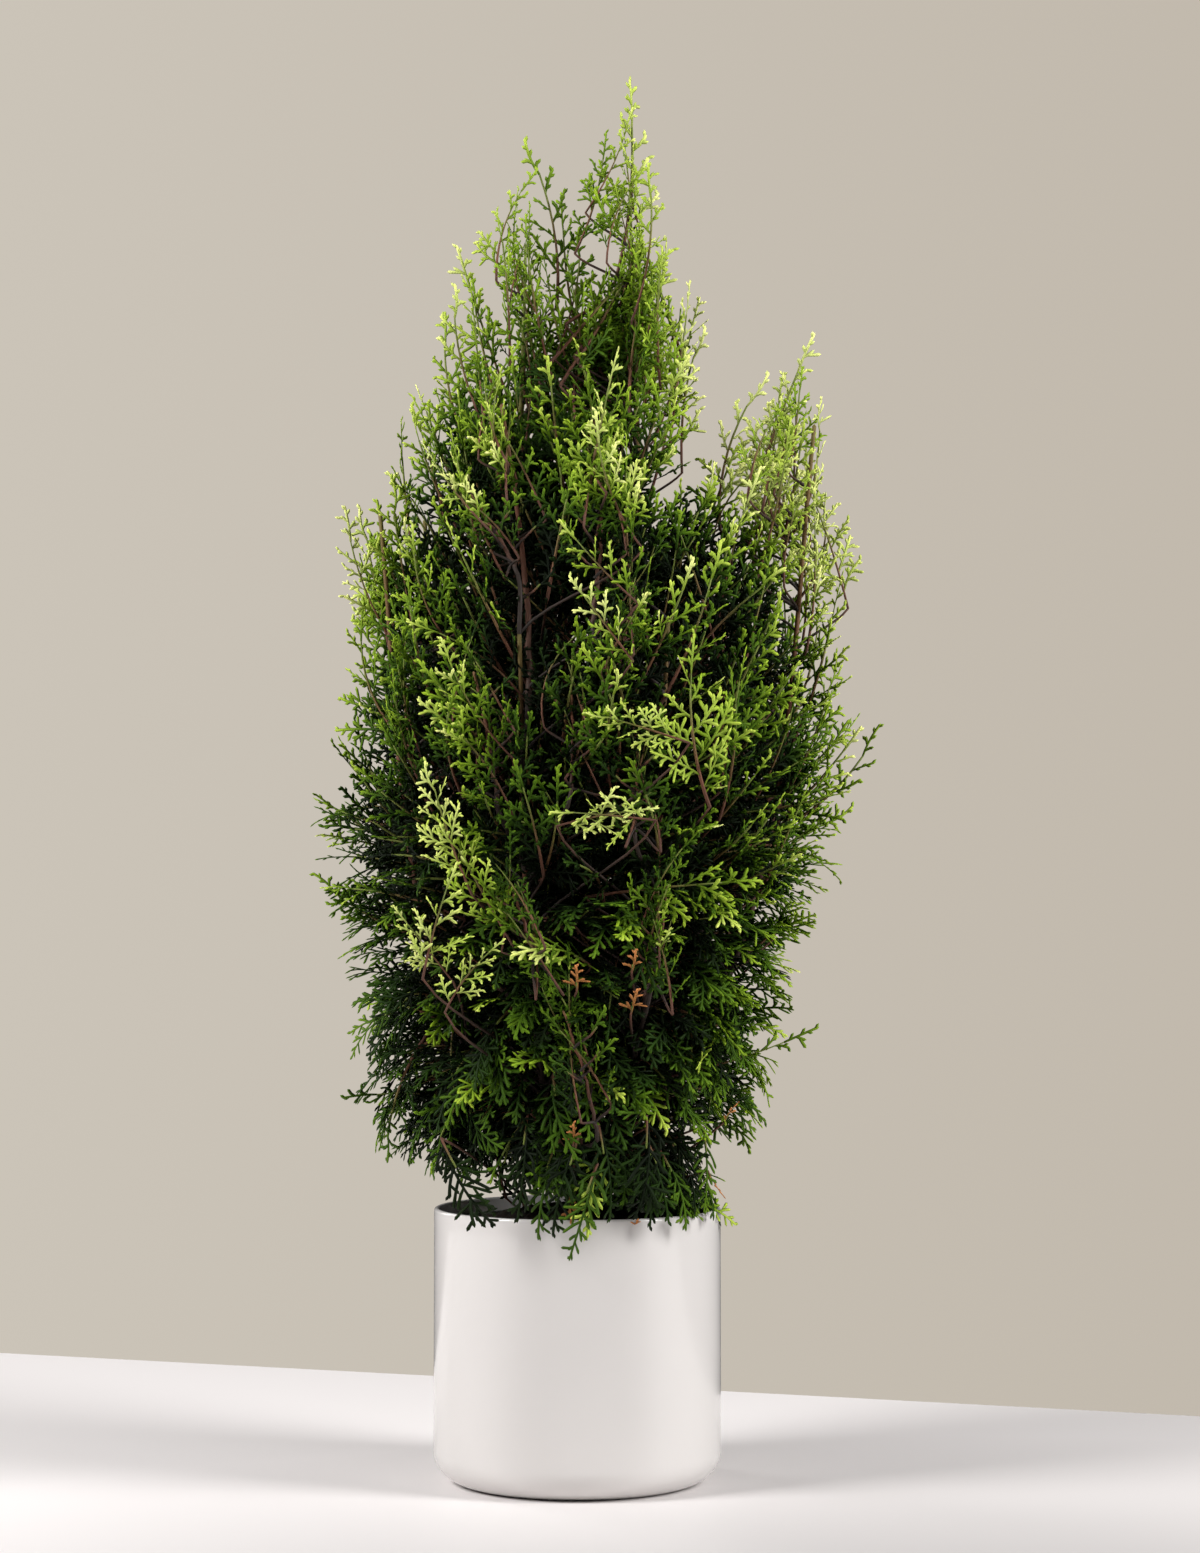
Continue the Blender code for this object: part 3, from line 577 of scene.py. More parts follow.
def grow_fan(rng, length, breadth_share, sparseness=1.0, twigginess=1.0):
    """One flat fan growing along +Y with +Z as its upper side: points, corners, palette."""
    soup = Soup()
    sway = rng.normal(0, 9)
    axis = bent_path(np.zeros(3), -sway, sway, length, 0.0, 9)
    soup.add(*branchlet(axis, BRANCHLET_WIDTH * 0.9, 0.1, 0.95, rng.normal(0, 0.02)))
    position = min(0.004, 0.16 * length)
    side = rng.choice((-1, 1))
    while position < length * 0.97:
        share = position / length
        profile = min(1.0, 0.45 + 2.2 * share) * (1.0 - share) ** 0.62
        reach = max(0.0028, breadth_share * length * profile * rng.uniform(0.7, 1.12))
        start_angle = rng.normal(SIDE_DEGREES, 5) * (1.0 - 0.22 * share)
        end_angle = start_angle * rng.uniform(0.35, 0.75)
        foot = point_along(axis, share)
        heading = side * start_angle + sway * (2 * share - 1)
        path = bent_path(foot, heading, side * end_angle, reach, rng.normal(0, 0.16))
        young = 0.20 + 0.45 * share
        tint = rng.normal(0.0, 0.03)
        soup.add(*branchlet(path, BRANCHLET_WIDTH, young * 0.7, min(0.98, young + 0.4), tint))
        if rng.uniform() < twigginess:
            add_twigs(soup, rng, path, side, young + 0.15, tint, sparseness / twigginess)
        side = -side
        position += SIDE_SPACING * sparseness * rng.uniform(0.75, 1.3)
    return soup.joined()


def turning(axis_index, degrees):
    """Rotation matrix about X, Y or Z."""
    angle = math.radians(degrees)
    first, second = [k for k in range(3) if k != axis_index]
    matrix = np.eye(3)
    matrix[first, first] = matrix[second, second] = math.cos(angle)
    matrix[first, second], matrix[second, first] = -math.sin(angle), math.sin(angle)
    return matrix


def grow_shoot(rng, length, fan_share, roll_spread, sparseness):
    """A woody twig along +Y with alternating fans: (leaves, wood), each points, corners, palette."""
    soup, wood = Soup(), Soup()
    sway = rng.normal(0, 10)
    axis = bent_path(np.zeros(3), -sway, sway, length * SHOOT_AXIS_SHARE, 0.0, 9)
    wood.add(*tube(axis, 0.0008, 0.0004, 4, (0.35, 0.98), rng.uniform(0.35, 0.65)))
    position = 0.14 * length
    side = rng.choice((-1, 1))
    while position < 0.95 * SHOOT_AXIS_SHARE * length:
        share = position / (SHOOT_AXIS_SHARE * length)
        reach = length * fan_share * min(1.0, 0.7 + share) * (1.0 - 0.68 * share) * rng.uniform(0.75, 1.15)
        fan, corners, palette = grow_fan(rng, max(0.007, reach), rng.uniform(0.36, 0.46), sparseness)
        opening = -side * rng.normal(FAN_DEGREES, 7) * (1.0 - 0.25 * share)
        matrix = turning(2, opening - heading_along(axis, share))
        matrix = matrix @ turning(0, rng.normal(0, 13)) @ turning(1, rng.normal(0, roll_spread))
        palette[:, 0] += 0.12 * (share - 0.5)
        palette[:, 1] += rng.normal(0, 0.03)
        soup.add(fan @ matrix.T + point_along(axis, share), corners, palette)
        side = -side
        position += SHOOT_SPACING * sparseness * rng.uniform(0.75, 1.25)
    fan, corners, palette = grow_fan(rng, max(0.012, length * 0.26), 0.40, sparseness)
    soup.add(fan @ turning(2, -sway).T + axis[-1], corners, palette)
    return soup.joined(), wood.joined()


def carried(points, length, growth, normal, bend, sweep, twist, scale):
    """Template points bent by an angle over their length and turned to grow along growth."""
    across = np.cross(growth, normal)
    turn = twist * points[:, 1] / length
    x = points[:, 0] * np.cos(turn) - points[:, 2] * np.sin(turn) + sweep * points[:, 1] ** 2 / length
    z = points[:, 0] * np.sin(turn) + points[:, 2] * np.cos(turn)
    curl = bend if abs(bend) > 1e-3 else 1e-3
    angle = curl * points[:, 1] / length
    radius = length / curl
    line = np.outer(radius * np.sin(angle), growth) + np.outer(radius * (1 - np.cos(angle)), normal)
    lift = np.outer(-np.sin(angle), growth) + np.outer(np.cos(angle), normal)
    return (line + np.outer(x, across) + lift * z[:, None]) * scale


def perpendicular(vector, to):
    return unit(vector - to * np.dot(vector, to))


def rotated(vector, axis, angle):
    return vector * math.cos(angle) + np.cross(axis, vector) * math.sin(angle)


def tube(path, start_radius, end_radius, sides, ages, tint):
    """A round twig along a path, closed to a point at its far end."""
    way = np.gradient(path, axis=0)
    way /= np.linalg.norm(way, axis=1, keepdims=True)
    reference = np.array((0.31, 0.84, 0.44))
    across = np.cross(way, reference)
    across /= np.linalg.norm(across, axis=1, keepdims=True)
    other = np.cross(way, across)
    rings = len(path)
    radius = np.linspace(start_radius, end_radius, rings)
    angle = 2 * math.pi * np.arange(sides) / sides
    ring = path[:, None] + radius[:, None, None] * (
        np.cos(angle)[None, :, None] * across[:, None] + np.sin(angle)[None, :, None] * other[:, None]
    )
    points = np.concatenate([ring.reshape(-1, 3), (path[-1] + way[-1] * end_radius)[None]])
    age = np.repeat(np.linspace(ages[0], ages[1], rings), sides)
    band = np.tile(0.12 * np.sin(angle), rings)
    palette = np.stack([np.append(age, ages[1]), np.append(tint + band, tint)], axis=1)
    return points, ring_corners(rings, sides), palette


def twig_path(start, start_way, end, end_way, steps=8):
    handle = 0.28 * np.linalg.norm(end - start)
    ends = (start, start + start_way * handle, end - end_way * handle, end)
    return np.array([curve_point(ends, share) for share in np.linspace(0, 1, steps)])


def stem_at_height(ends, height):
    """Point and direction on a stem nearest to a height."""
    shares = np.linspace(0.04, 1.0, 40)
    heights = np.array([curve_point(ends, share)[2] for share in shares])
    share = shares[int(np.argmin(abs(heights - height)))]
    return curve_point(ends, share), curve_direction(ends, share)


def clears_planter(points):
    """True where a bough's leaves stay above the planter's rim when the bough leans right out."""
    lean = math.radians(BOUGH_SWING_DEGREES)
    out = np.hypot(points[:, 0], points[:, 1]) - PIN_CIRCLE
    rise = points[:, 2] - PIN_HEIGHT
    swung_out = PIN_CIRCLE + out * math.cos(lean) + rise * math.sin(lean)
    swung_height = PIN_HEIGHT + rise * math.cos(lean) - out * math.sin(lean)
    low = swung_height < PLANTER_HEIGHT + RIM_CLEARANCE
    return not (low & (swung_out < PLANTER_RADIUS + RIM_CLEARANCE)).any()


class Grower:
    """Grows shoots and the twigs that carry them, for one moving body."""

    def __init__(self, rng, templates, ends, levels=(1.0,), swings=False):
        self.rng = rng
        self.swings = swings
        self.templates = templates
        self.ends = ends
        self.levels = levels
        self.leaves = [Soup() for _ in levels]
        self.wood = Soup()

    def shoot(self, kind, tip, growth, normal, bend_degrees, tint, scale=1.0, ends=None, twist=0.35):
        """Places a shoot with its far end at tip, and joins its foot to a stem."""
        rng = self.rng
        template = self.templates[kind][rng.integers(len(self.templates[kind]))]
        leaves, wood = template
        length = leaves[0][:, 1].max()
        mirror = np.array((rng.choice((-1.0, 1.0)), 1.0, 1.0))
        flip = mirror[0] < 0
        growth = unit(np.array(growth, float))
        normal = perpendicular(np.array(normal, float), growth)
        bend = math.radians(bend_degrees)
        shape = (length, growth, normal, bend, rng.uniform(-0.12, 0.12), rng.normal(0, twist), scale)
        if DEEP_SHADE_TINT < tint < YELLOWEST:
            # Painted light: shoots on the crown's right side get a paler tint.
            tint = min(YELLOWEST, tint + RIGHT_PAINTED_LIGHT * max(0.0, min(1.0, tip[0] / 0.08 - 0.2)))
        end = carried(np.array(((0.0, length, 0.0),)), *shape)[0]
        foot = np.array(tip, float) - end
        twig_tint = rng.uniform(0.2, 0.5)
        if self.swings and not clears_planter(carried(leaves[0] * mirror, *shape) + foot):
            return
        cluster = self.leaves[min(len(self.levels) - 1, int(np.searchsorted(self.levels, tip[2])))]
        for soup, (points, corners, palette) in ((cluster, leaves), (self.wood, wood)):
            placed = carried(points * mirror, *shape) + foot
            tinted = palette.copy()
            if soup is cluster and tint < DEAD_TINT:
                # Painted shade: leaves that lie deeper in the crown are darkened.
                shaded = tinted[:, 1] + tint - (tint + 0.05) * painted_shade_share(placed)
                tinted[:, 1] = np.clip(shaded, 0.0, 0.90)
            elif soup is cluster:
                tinted[:, 1] = DEAD_TINT
            turned = corners[:, ::-1] if flip else corners
            soup.add(placed, turned, tinted)
        self.twig(foot, growth, ends or self.ends, twig_tint)

    def twig(self, foot, growth, ends, tint):
        near, _ = stem_at_height(ends, foot[2])
        gap = math.hypot(foot[0] - near[0], foot[1] - near[1])
        start, way = stem_at_height(ends, foot[2] - 0.7 * gap)
        straight = unit(foot - start + 1e-6)
        path = twig_path(start, unit(0.6 * way + straight), foot, unit(straight + 0.4 * growth))
        # Twigs start near-black at the stem: painted shade inside the crown.
        self.wood.add(*tube(path, 0.0007, 0.0005, 5, (0.0, 0.40), tint))

    def crown_shoot(self, kind, angle, height, depth, tint):
        """A shoot whose tip is at a share of the crown's radius, rising high up and drooping low down."""
        rng = self.rng
        outward = outward_at(angle)
        tip = outward * (depth * outline_radius(angle, height)) + UP * height
        rise = np.interp(height, RISE_HEIGHTS, RISE_DEGREES) + rng.normal(0, 11)
        droops = rise < 12
        lean = math.radians(rise + (34 if droops else -10))
        growth = unit(outward * math.cos(lean) + UP * math.sin(lean) + rng.normal(0, 0.12, 3))
        face = perpendicular(UP + 0.35 * outward if droops else outward - 0.2 * UP, growth)
        spread = 0.6 * FACING_SPREAD if droops else FACING_SPREAD
        normal = rotated(face, growth, math.radians(rng.normal(0, spread)))
        bend = rng.uniform(-72, -38) if droops else rng.uniform(-30, 12)
        self.shoot(kind, tip, growth, normal, bend, tint)


def make_templates(rng):
    """Shoot shapes, by kind: broad, middling, airy leading shoots, drooping fronds and sparse inner ones."""
    templates = {}
    for kind, (shortest, longest, fan_share, roll, sparseness, count) in SHOOT_KINDS.items():
        templates[kind] = [
            grow_shoot(rng, rng.uniform(shortest, longest), fan_share, roll, sparseness) for _ in range(count)
        ]
    templates["frond"] = [
        bare_fan(rng, rng.uniform(*FROND_LENGTHS), rng.uniform(*FROND_BREADTHS)) for _ in range(8)
    ]
    templates["small"] = [bare_fan(rng, rng.uniform(*SMALL_FAN_LENGTHS), SMALL_FAN_BREADTH) for _ in range(5)]
    return templates


def bare_fan(rng, length, breadth_share):
    """A single fan with a short piece of twig at its foot, as a shoot template."""
    wood = tube(bent_path(np.zeros(3), 0, 0, 0.3 * length, 0.0, 4), 0.0007, 0.0005, 4, (0.4, 0.98), 0.5)
    return grow_fan(rng, length, breadth_share, 1.0, 0.6), wood


def tint_at(rng, height, depth):
    """Tint of a shoot: yellower and paler high up and darker low down, partly fresh growth and partly painted
    light and shade; darker inside, as painted shade.
    """
    rise = np.interp(height, (0.12, 0.22, 0.34, 0.46, 0.60), (0.11, 0.21, 0.44, 0.66, 0.76))
    fresh = FRESH_TINT if rng.uniform() < FRESH_SHARE else 0.0
    # The depth term darkens shoots inside the crown: painted shade.
    value = rise + 0.5 * (depth - 0.92) + rng.normal(0, 0.11) + fresh
    return min(YELLOWEST, max(DEEP_SHADE_TINT, value))


def in_window(angle, height):
    """True where the front of the crown stands open in front of a bare stem."""
    place = outline_radius(angle, height) * math.cos(angle)
    return math.sin(angle) < 0 and any(
        abs(place - x) < half and low < height - 0.01 < high for x, half, low, high in FRONT_WINDOWS
    )


def grow_bough(number, rng, templates):
    ends = bough_curve(number)
    grower = Grower(rng, templates, ends, CLUSTER_LEVELS[number], swings=True)
    centre_angle = bough_angle(number)
    half_wedge = math.pi / len(BOUGH_TOPS)
    top = BOUGH_TOPS[number][1]
    lowest, highest = 0.150, min(top, 0.43) + 0.012
    for index in range(BOUGH_SHOOTS):
        height = lowest + (highest - lowest) * (index + rng.uniform(0, 1)) / BOUGH_SHOOTS
        angle = centre_angle + rng.uniform(-1.1, 1.1) * half_wedge
        layer = index % 6
        depth = (0.96, 0.88, 0.99, 0.76, 0.93, 0.60)[layer] + rng.uniform(-0.04, 0.03)
        if in_window(angle, height):
            depth = min(depth, 0.66)
        kind = ("broad", "middle", "middle", "broad", "middle", "inner")[layer]
        if height < 0.26 and layer in (0, 2, 4):
            kind = "frond"
        grower.crown_shoot(kind, angle, height, depth, tint_at(rng, height, depth))
        if kind == "frond":
            again = height + rng.uniform(-0.012, 0.012)
            grower.crown_shoot(kind, angle + rng.uniform(-0.3, 0.3), again, depth, tint_at(rng, again, depth))
    for index in range(BOUGH_INNER_SHOOTS):
        height = 0.16 + (min(top, 0.42) - 0.16) * (index + 0.5) / BOUGH_INNER_SHOOTS
        # Inner shoots take the near-black tint of painted shade.
        grower.crown_shoot("inner", centre_angle + rng.uniform(-0.4, 0.4), height, 0.5, DEEP_SHADE_TINT)
    grow_leading_shoots(grower, number + 1)
    if number == 0:
        grow_side_peak(grower)
    return grower


def grow_side_peak(grower):
    """Upright shoots that fill the second, lower peak at the crown's right."""
    rng = grower.rng
    low, high = SIDE_PEAK
    for index in range(SIDE_PEAK_SHOOTS):
        share = (index + rng.uniform(0, 1)) / SIDE_PEAK_SHOOTS
        height = low[2] + share * (high[2] - low[2])
        half = SIDE_PEAK_WIDTH * (1.0 - 0.7 * share)
        x = low[0] + share * (high[0] - low[0]) + rng.uniform(-half, half)
        y = low[1] + share * (high[1] - low[1]) + rng.uniform(-half, half)
        growth = (rng.normal(0.12, 0.16), rng.normal(-0.05, 0.16), 1.0)
        normal = (rng.normal(0, 0.5), -1.0, 0.0)
        kind = ("plume", "middle")[index % 2]
        tint = tint_at(rng, height, SIDE_PEAK_DEPTH)
        grower.shoot(kind, (x, y, height), growth, normal, rng.uniform(-16, 16), tint, rng.uniform(0.7, 1.0))


def grow_leading_shoots(grower, body_number, leaders=()):
    rng = grower.rng
    for body, tip, length in LEADING_SHOOTS:
        if body != body_number:
            continue
        tip = np.array(tip)
        outward = unit(tip * (1.0, 1.0, 0.0))
        rise = np.interp(tip[2], (0.15, 0.28, 0.38, 0.45), (8, 26, 55, 78)) + rng.normal(0, 4)
        lean = math.radians(rise)
        growth = outward * math.cos(lean) + UP * math.sin(lean)
        normal = rotated(perpendicular(np.array((0.0, -1.0, 0.1)), growth), growth, rng.normal(0, 0.6))
        ends = grower.ends
        if leaders:
            ends = leaders[0] if tip[0] > 0 else leaders[1]
        bend = rng.uniform(-14, 14)
        grower.shoot("plume", tip, growth, normal, bend, tint_at(rng, tip[2], 1.0), length / 0.067, ends)


def grow_crown_top(rng, templates, leaders):
    """Shoots on the two leaders above the boughs."""
    grower = Grower(rng, templates, leaders[0], (0.45, 0.49, 1.0))
    grow_leading_shoots(grower, 0, leaders)
    for ends, peak in zip(leaders, PEAK_HEIGHTS):
        for index in range(PEAK_SHOOTS):
            drop = 0.006 + 0.0085 * index
            around = index * GOLDEN_TURN + rng.uniform(-0.4, 0.4)
            centre = curve_point(ends, min(1.0, 1.0 - (drop + 0.01) / (peak - FORK_HEIGHT)))
            tip = np.array((centre[0], centre[1], peak - drop)) + outward_at(around) * (0.003 + 0.11 * drop)
            lean = math.radians(rng.uniform(66, 82))
            growth = outward_at(around) * math.cos(lean) + UP * math.sin(lean)
            tint = tint_at(rng, tip[2], 1.0)
            bend = rng.uniform(-16, 8)
            scale = rng.uniform(0.5, 0.8)
            grower.shoot("plume", tip, growth, outward_at(around + 1.3), bend, tint, scale, ends)
    for index in range(CROWN_SHOOTS):
        height = 0.405 + 0.150 * ((index * GOLDEN_SHARE) % 1.0)
        angle = index * GOLDEN_TURN + rng.uniform(-0.3, 0.3)
        depth = rng.uniform(0.55, 0.98)
        if in_window(angle, height):
            depth = min(depth, 0.6)
        grower.ends = leaders[0] if math.cos(angle) > 0 else leaders[1]
        kind = ("middle", "plume", "middle", "broad")[index % 4]
        grower.crown_shoot(kind, angle, height, depth, tint_at(rng, height, depth))
    grow_upper_front(grower, leaders)
    return grower


def grow_upper_front(grower, leaders):
    """Shoots on the crown's surface at the upper front, where it is widest open."""
    rng = grower.rng
    places, heights = UPPER_FRONT
    for index in range(UPPER_FRONT_SHOOTS):
        x = places[0] + (places[1] - places[0]) * ((index * GOLDEN_SHARE) % 1.0)
        height = heights[0] + (heights[1] - heights[0]) * (index + rng.uniform(0, 1)) / UPPER_FRONT_SHOOTS
        if abs(x) > 0.9 * outline_radius(0.0 if x > 0 else math.pi, height):
            continue
        _, angle = front_place(x, height)
        if in_window(angle, height):
            continue
        grower.ends = leaders[0] if x > 0 else leaders[1]
        depth = rng.uniform(0.82, 1.0)
        kind = ("middle", "broad", "plume")[index % 3]
        grower.crown_shoot(kind, angle, height, depth, tint_at(rng, height, depth))


def grow_core(rng, templates, trunk):
    """Inner shoots that close the middle of the crown, tinted near-black as painted shade."""
    grower = Grower(rng, templates, trunk)
    for index in range(CORE_SHOOTS):
        height = 0.16 + 0.30 * (index + rng.uniform(0, 1)) / CORE_SHOOTS
        outward = outward_at(index * GOLDEN_TURN)
        tip = outward * rng.uniform(0.030, 0.052) + UP * height
        growth = outward * 0.3 + UP
        grower.shoot("inner", tip, growth, outward, rng.uniform(-20, 20), DEEP_SHADE_TINT + rng.uniform(0, 0.05))
    return grower


def grow_skirt(rng, templates, trunk):
    """Low fronds fixed to the trunk, drooping towards and over the planter's rim."""
    grower = Grower(rng, templates, trunk)
    for index in range(SKIRT_SHOOTS):
        height = 0.112 + 0.062 * ((index * GOLDEN_SHARE) % 1.0)
        angle = index * GOLDEN_TURN + rng.uniform(-0.15, 0.15)
        depth = rng.uniform(0.55, 1.02)
        kind = ("frond", "frond", "middle")[index % 3]
        grower.crown_shoot(kind, angle, height, depth, tint_at(rng, height, depth))
    for x, height in RIM_SPRIGS:
        share = (PLANTER_RADIUS + rng.uniform(0.003, 0.009)) / outline_radius(-math.pi / 2, height)
        tip, angle = front_place(x, height, share)
        growth = 0.5 * outward_at(angle) + np.array((rng.normal(0, 0.25), 0.0, -0.8))
        normal = 0.8 * outward_at(angle) + 0.6 * UP
        grower.shoot("frond", tip, growth, normal, rng.uniform(-70, -40), tint_at(rng, 0.14, 0.90))
    for x, height in LOW_DEAD_TIPS:
        grow_dead_tip(grower, x, height)
    return grower


def front_place(x, height, share=1.0):
    """The point of the crown's front surface at a sideways place and a height."""
    angle = -math.pi / 2
    for _ in range(12):
        radius = share * outline_radius(angle, height)
        angle = -math.acos(max(-0.999, min(0.999, x / radius)))
    return np.array((x, radius * math.sin(angle), height)), angle


def body_at(angle):
    """The bough whose wedge holds a direction."""
    turns = (math.radians(FIRST_BOUGH_DEGREES) - angle) / (2 * math.pi) * len(BOUGH_TOPS)
    return int(round(turns)) % len(BOUGH_TOPS)


def grow_stem_shoots(grower, foot, tip, radius):
    """Shoots at the upper end of a bare stem, and a few small ones along it."""
    rng = grower.rng
    ends = straight_ends(foot, tip)
    way = unit(tip - foot)
    for index in range(5):
        around = index * GOLDEN_TURN + rng.uniform(-0.3, 0.3)
        spread = outward_at(around)
        place = tip + way * (0.030 - 0.007 * index) + spread * 0.009
        tint = tint_at(rng, place[2], 1.0)
        scale = 0.55 + 150 * radius
        normal = outward_at(around + 1.3)
        grower.shoot("plume", place, way + 0.35 * spread, normal, rng.uniform(-16, 8), tint, scale, ends)
    for share in (0.35, 0.55, 0.8):
        side = rng.choice((-1.0, 1.0))
        place = foot + (tip - foot) * share + np.array((side * 0.016, -0.006, 0.012))
        growth = way + np.array((side * 1.1, -0.3, 0.1))
        grower.shoot("small", place, growth, (0.0, -1.0, 0.3), 10, tint_at(rng, place[2], 1.0), 0.9, ends)


def grow_dead_tip(grower, x, height):
    tip, angle = front_place(x, height)
    growth = outward_at(angle) * 0.5 + np.array((0.0, 0.0, grower.rng.choice((-1.0, 0.8))))
    grower.shoot("small", tip, growth, outward_at(angle), 20, DEAD_TINT, 0.8)


def grow_front(growers):
    """Fans that face the light with a pale painted-light tint, dead tips and bare stems at the front of the
    crown.
    """
    for x, height, lean_degrees, length in BRIGHT_FANS:
        tip, angle = front_place(x, height, 0.97)
        grower = growers[body_at(angle)]
        lean = math.radians(lean_degrees)
        growth = np.array((math.sin(lean), -0.12, math.cos(lean)))
        normal = unit(np.array((-0.25, -1.0, 0.35)))
        kind = "broad" if length > 0.048 else "middle"
        scale = length / (0.065 if kind == "broad" else 0.053)
        bend = grower.rng.uniform(-24, 4)
        # A pale tint on these fans: painted light.
        tint = grower.rng.uniform(0.74, 0.86)
        grower.shoot(kind, tip, growth, normal, bend, tint, scale, twist=0.15)
    for x, height in DEAD_TIPS:
        grow_dead_tip(growers[body_at(front_place(x, height)[1])], x, height)
    for number, foot, tip, radius in BARE_STEMS:
        grower = growers[number - 1]
        foot, tip = np.array(foot), np.array(tip)
        way = unit(tip - foot)
        path = twig_path(foot, unit(way + 0.2 * outward_at(1.0)), tip, unit(way - 0.2 * outward_at(1.0)), 16)
        path[1:-1] += grower.rng.normal(0, 0.35 * radius, (14, 3))
        grower.wood.add(*tube(path, radius, radius * 0.5, 8, (0.25, 0.62), 0.62))
        grow_stem_shoots(grower, foot, tip, radius)
        start, start_way = stem_at_height(grower.ends, foot[2] - 0.03)
        joining = twig_path(start, start_way, foot, way)
        grower.wood.add(*tube(joining, radius * 1.1, radius, 8, (0.05, 0.1), 0.6))


def straight_ends(foot, top):
    foot, top = np.array(foot), np.array(top)
    return foot, foot + (top - foot) / 3, foot + (top - foot) * 2 / 3, top


def stem_path(ends, start, end, steps):
    return np.array([curve_point(ends, share) for share in np.linspace(start, end, steps)])


def add_eye(soup, angle):
    """The eye that turns on the hinge pin at a bough's foot."""
    axis = np.array((-math.sin(angle), math.cos(angle), 0.0))
    outward = outward_at(angle)
    centre = outward * PIN_CIRCLE + UP * PIN_HEIGHT
    sides = 28
    around = 2 * math.pi * np.arange(sides) / sides
    rings = []
    half = EYE_WIDTH / 2
    for radius, offset in ((EYE_BORE, -half), (EYE_RADIUS, -half), (EYE_RADIUS, half), (EYE_BORE, half)):
        spokes = np.cos(around)[:, None] * outward + np.sin(around)[:, None] * UP
        rings.append(centre + axis * offset + radius * spokes)
    points = np.concatenate(rings)
    corners = []
    for ring in range(4):
        for side in range(sides):
            after = (side + 1) % sides
            low, high = ring * sides, ((ring + 1) % 4) * sides
            corners.append((low + side, high + after, low + after))
            corners.append((low + side, high + side, high + after))
    share = np.tile(np.linspace(0.05, 0.25, sides), 4)
    band = np.repeat((0.2, 0.35, 0.5, 0.65), sides)
    soup.add(points, np.array(corners), np.stack([share, band], axis=1))


def new_nodes(name):
    material = bpy.data.materials.new(name)
    material.use_nodes = True
    tree = material.node_tree
    return material, tree, tree.nodes["Principled BSDF"]


def colour_ramp(tree, factor, stops):
    ramp = tree.nodes.new("ShaderNodeValToRGB")
    elements = ramp.color_ramp.elements
    while len(elements) < len(stops):
        elements.new(0.5)
    for element, (position, colour) in zip(elements, stops):
        element.position = position
        element.color = (*colour, 1.0)
    tree.links.new(factor, ramp.inputs["Fac"])
    return ramp.outputs["Color"]


def multiplied(tree, first, second):
    mix = tree.nodes.new("ShaderNodeMix")
    mix.data_type = "RGBA"
    mix.blend_type = "MULTIPLY"
    mix.inputs["Factor"].default_value = 1.0
    tree.links.new(first, mix.inputs["A"])
    tree.links.new(second, mix.inputs["B"])
    return mix.outputs["Result"]


def palette_axes(tree):
    """The two directions of the palette: age along a branchlet, and tint."""
    place = tree.nodes.new("ShaderNodeUVMap")
    place.uv_map = "OFBake"
    split = tree.nodes.new("ShaderNodeSeparateXYZ")
    tree.links.new(place.outputs["UV"], split.inputs["Vector"])
    return split.outputs["X"], split.outputs["Y"]


def noise(tree, scale, detail=3.0, roughness=0.55):
    place = tree.nodes.new("ShaderNodeTexCoord")
    pattern = tree.nodes.new("ShaderNodeTexNoise")
    pattern.inputs["Scale"].default_value = scale
    pattern.inputs["Detail"].default_value = detail
    pattern.inputs["Roughness"].default_value = roughness
    tree.links.new(place.outputs["Object"], pattern.inputs["Vector"])
    return pattern.outputs["Fac"]


def bump(tree, shader, height, strength, distance):
    node = tree.nodes.new("ShaderNodeBump")
    node.inputs["Strength"].default_value = strength
    node.inputs["Distance"].default_value = distance
    tree.links.new(height, node.inputs["Height"])
    tree.links.new(node.outputs["Normal"], shader.inputs["Normal"])


def foliage_material():
    material, tree, shader = new_nodes("cedar_foliage")
    age, tint = palette_axes(tree)
    hue = colour_ramp(tree, tint, LEAF_HUES)
    tone = colour_ramp(tree, age, LEAF_TONES)
    tree.links.new(multiplied(tree, hue, tone), shader.inputs["Base Color"])
    shader.inputs["Roughness"].default_value = 0.58
    shader.inputs["Specular IOR Level"].default_value = 0.11
    return material


def bark_material():
    material, tree, shader = new_nodes("wrapped_bark")
    age, tint = palette_axes(tree)
    hue = colour_ramp(tree, age, BARK_HUES)
    tone = colour_ramp(tree, tint, BARK_TONES)
    tree.links.new(multiplied(tree, hue, tone), shader.inputs["Base Color"])
    shader.inputs["Roughness"].default_value = 0.72
    return material


def glaze_material():
    material, tree, shader = new_nodes("white_glaze")
    shade = noise(tree, 9.0, 2.0)
    colour = colour_ramp(tree, shade, GLAZE_COLOURS)
    tree.links.new(colour, shader.inputs["Base Color"])
    shader.inputs["Roughness"].default_value = 0.16
    shader.inputs["Coat Weight"].default_value = 0.35
    shader.inputs["Coat Roughness"].default_value = 0.08
    bump(tree, shader, noise(tree, 22.0, 1.0), 0.05, 0.001)
    return material


def grained_material(name, dark, light, roughness, scale, depth):
    """A matt material with a fine grain: soil, cement or moulded plastic."""
    material, tree, shader = new_nodes(name)
    grain = noise(tree, scale, 5.0, 0.65)
    tree.links.new(colour_ramp(tree, grain, ((0.35, dark), (0.68, light))), shader.inputs["Base Color"])
    shader.inputs["Roughness"].default_value = roughness
    bump(tree, shader, grain, 0.6, depth)
    return material


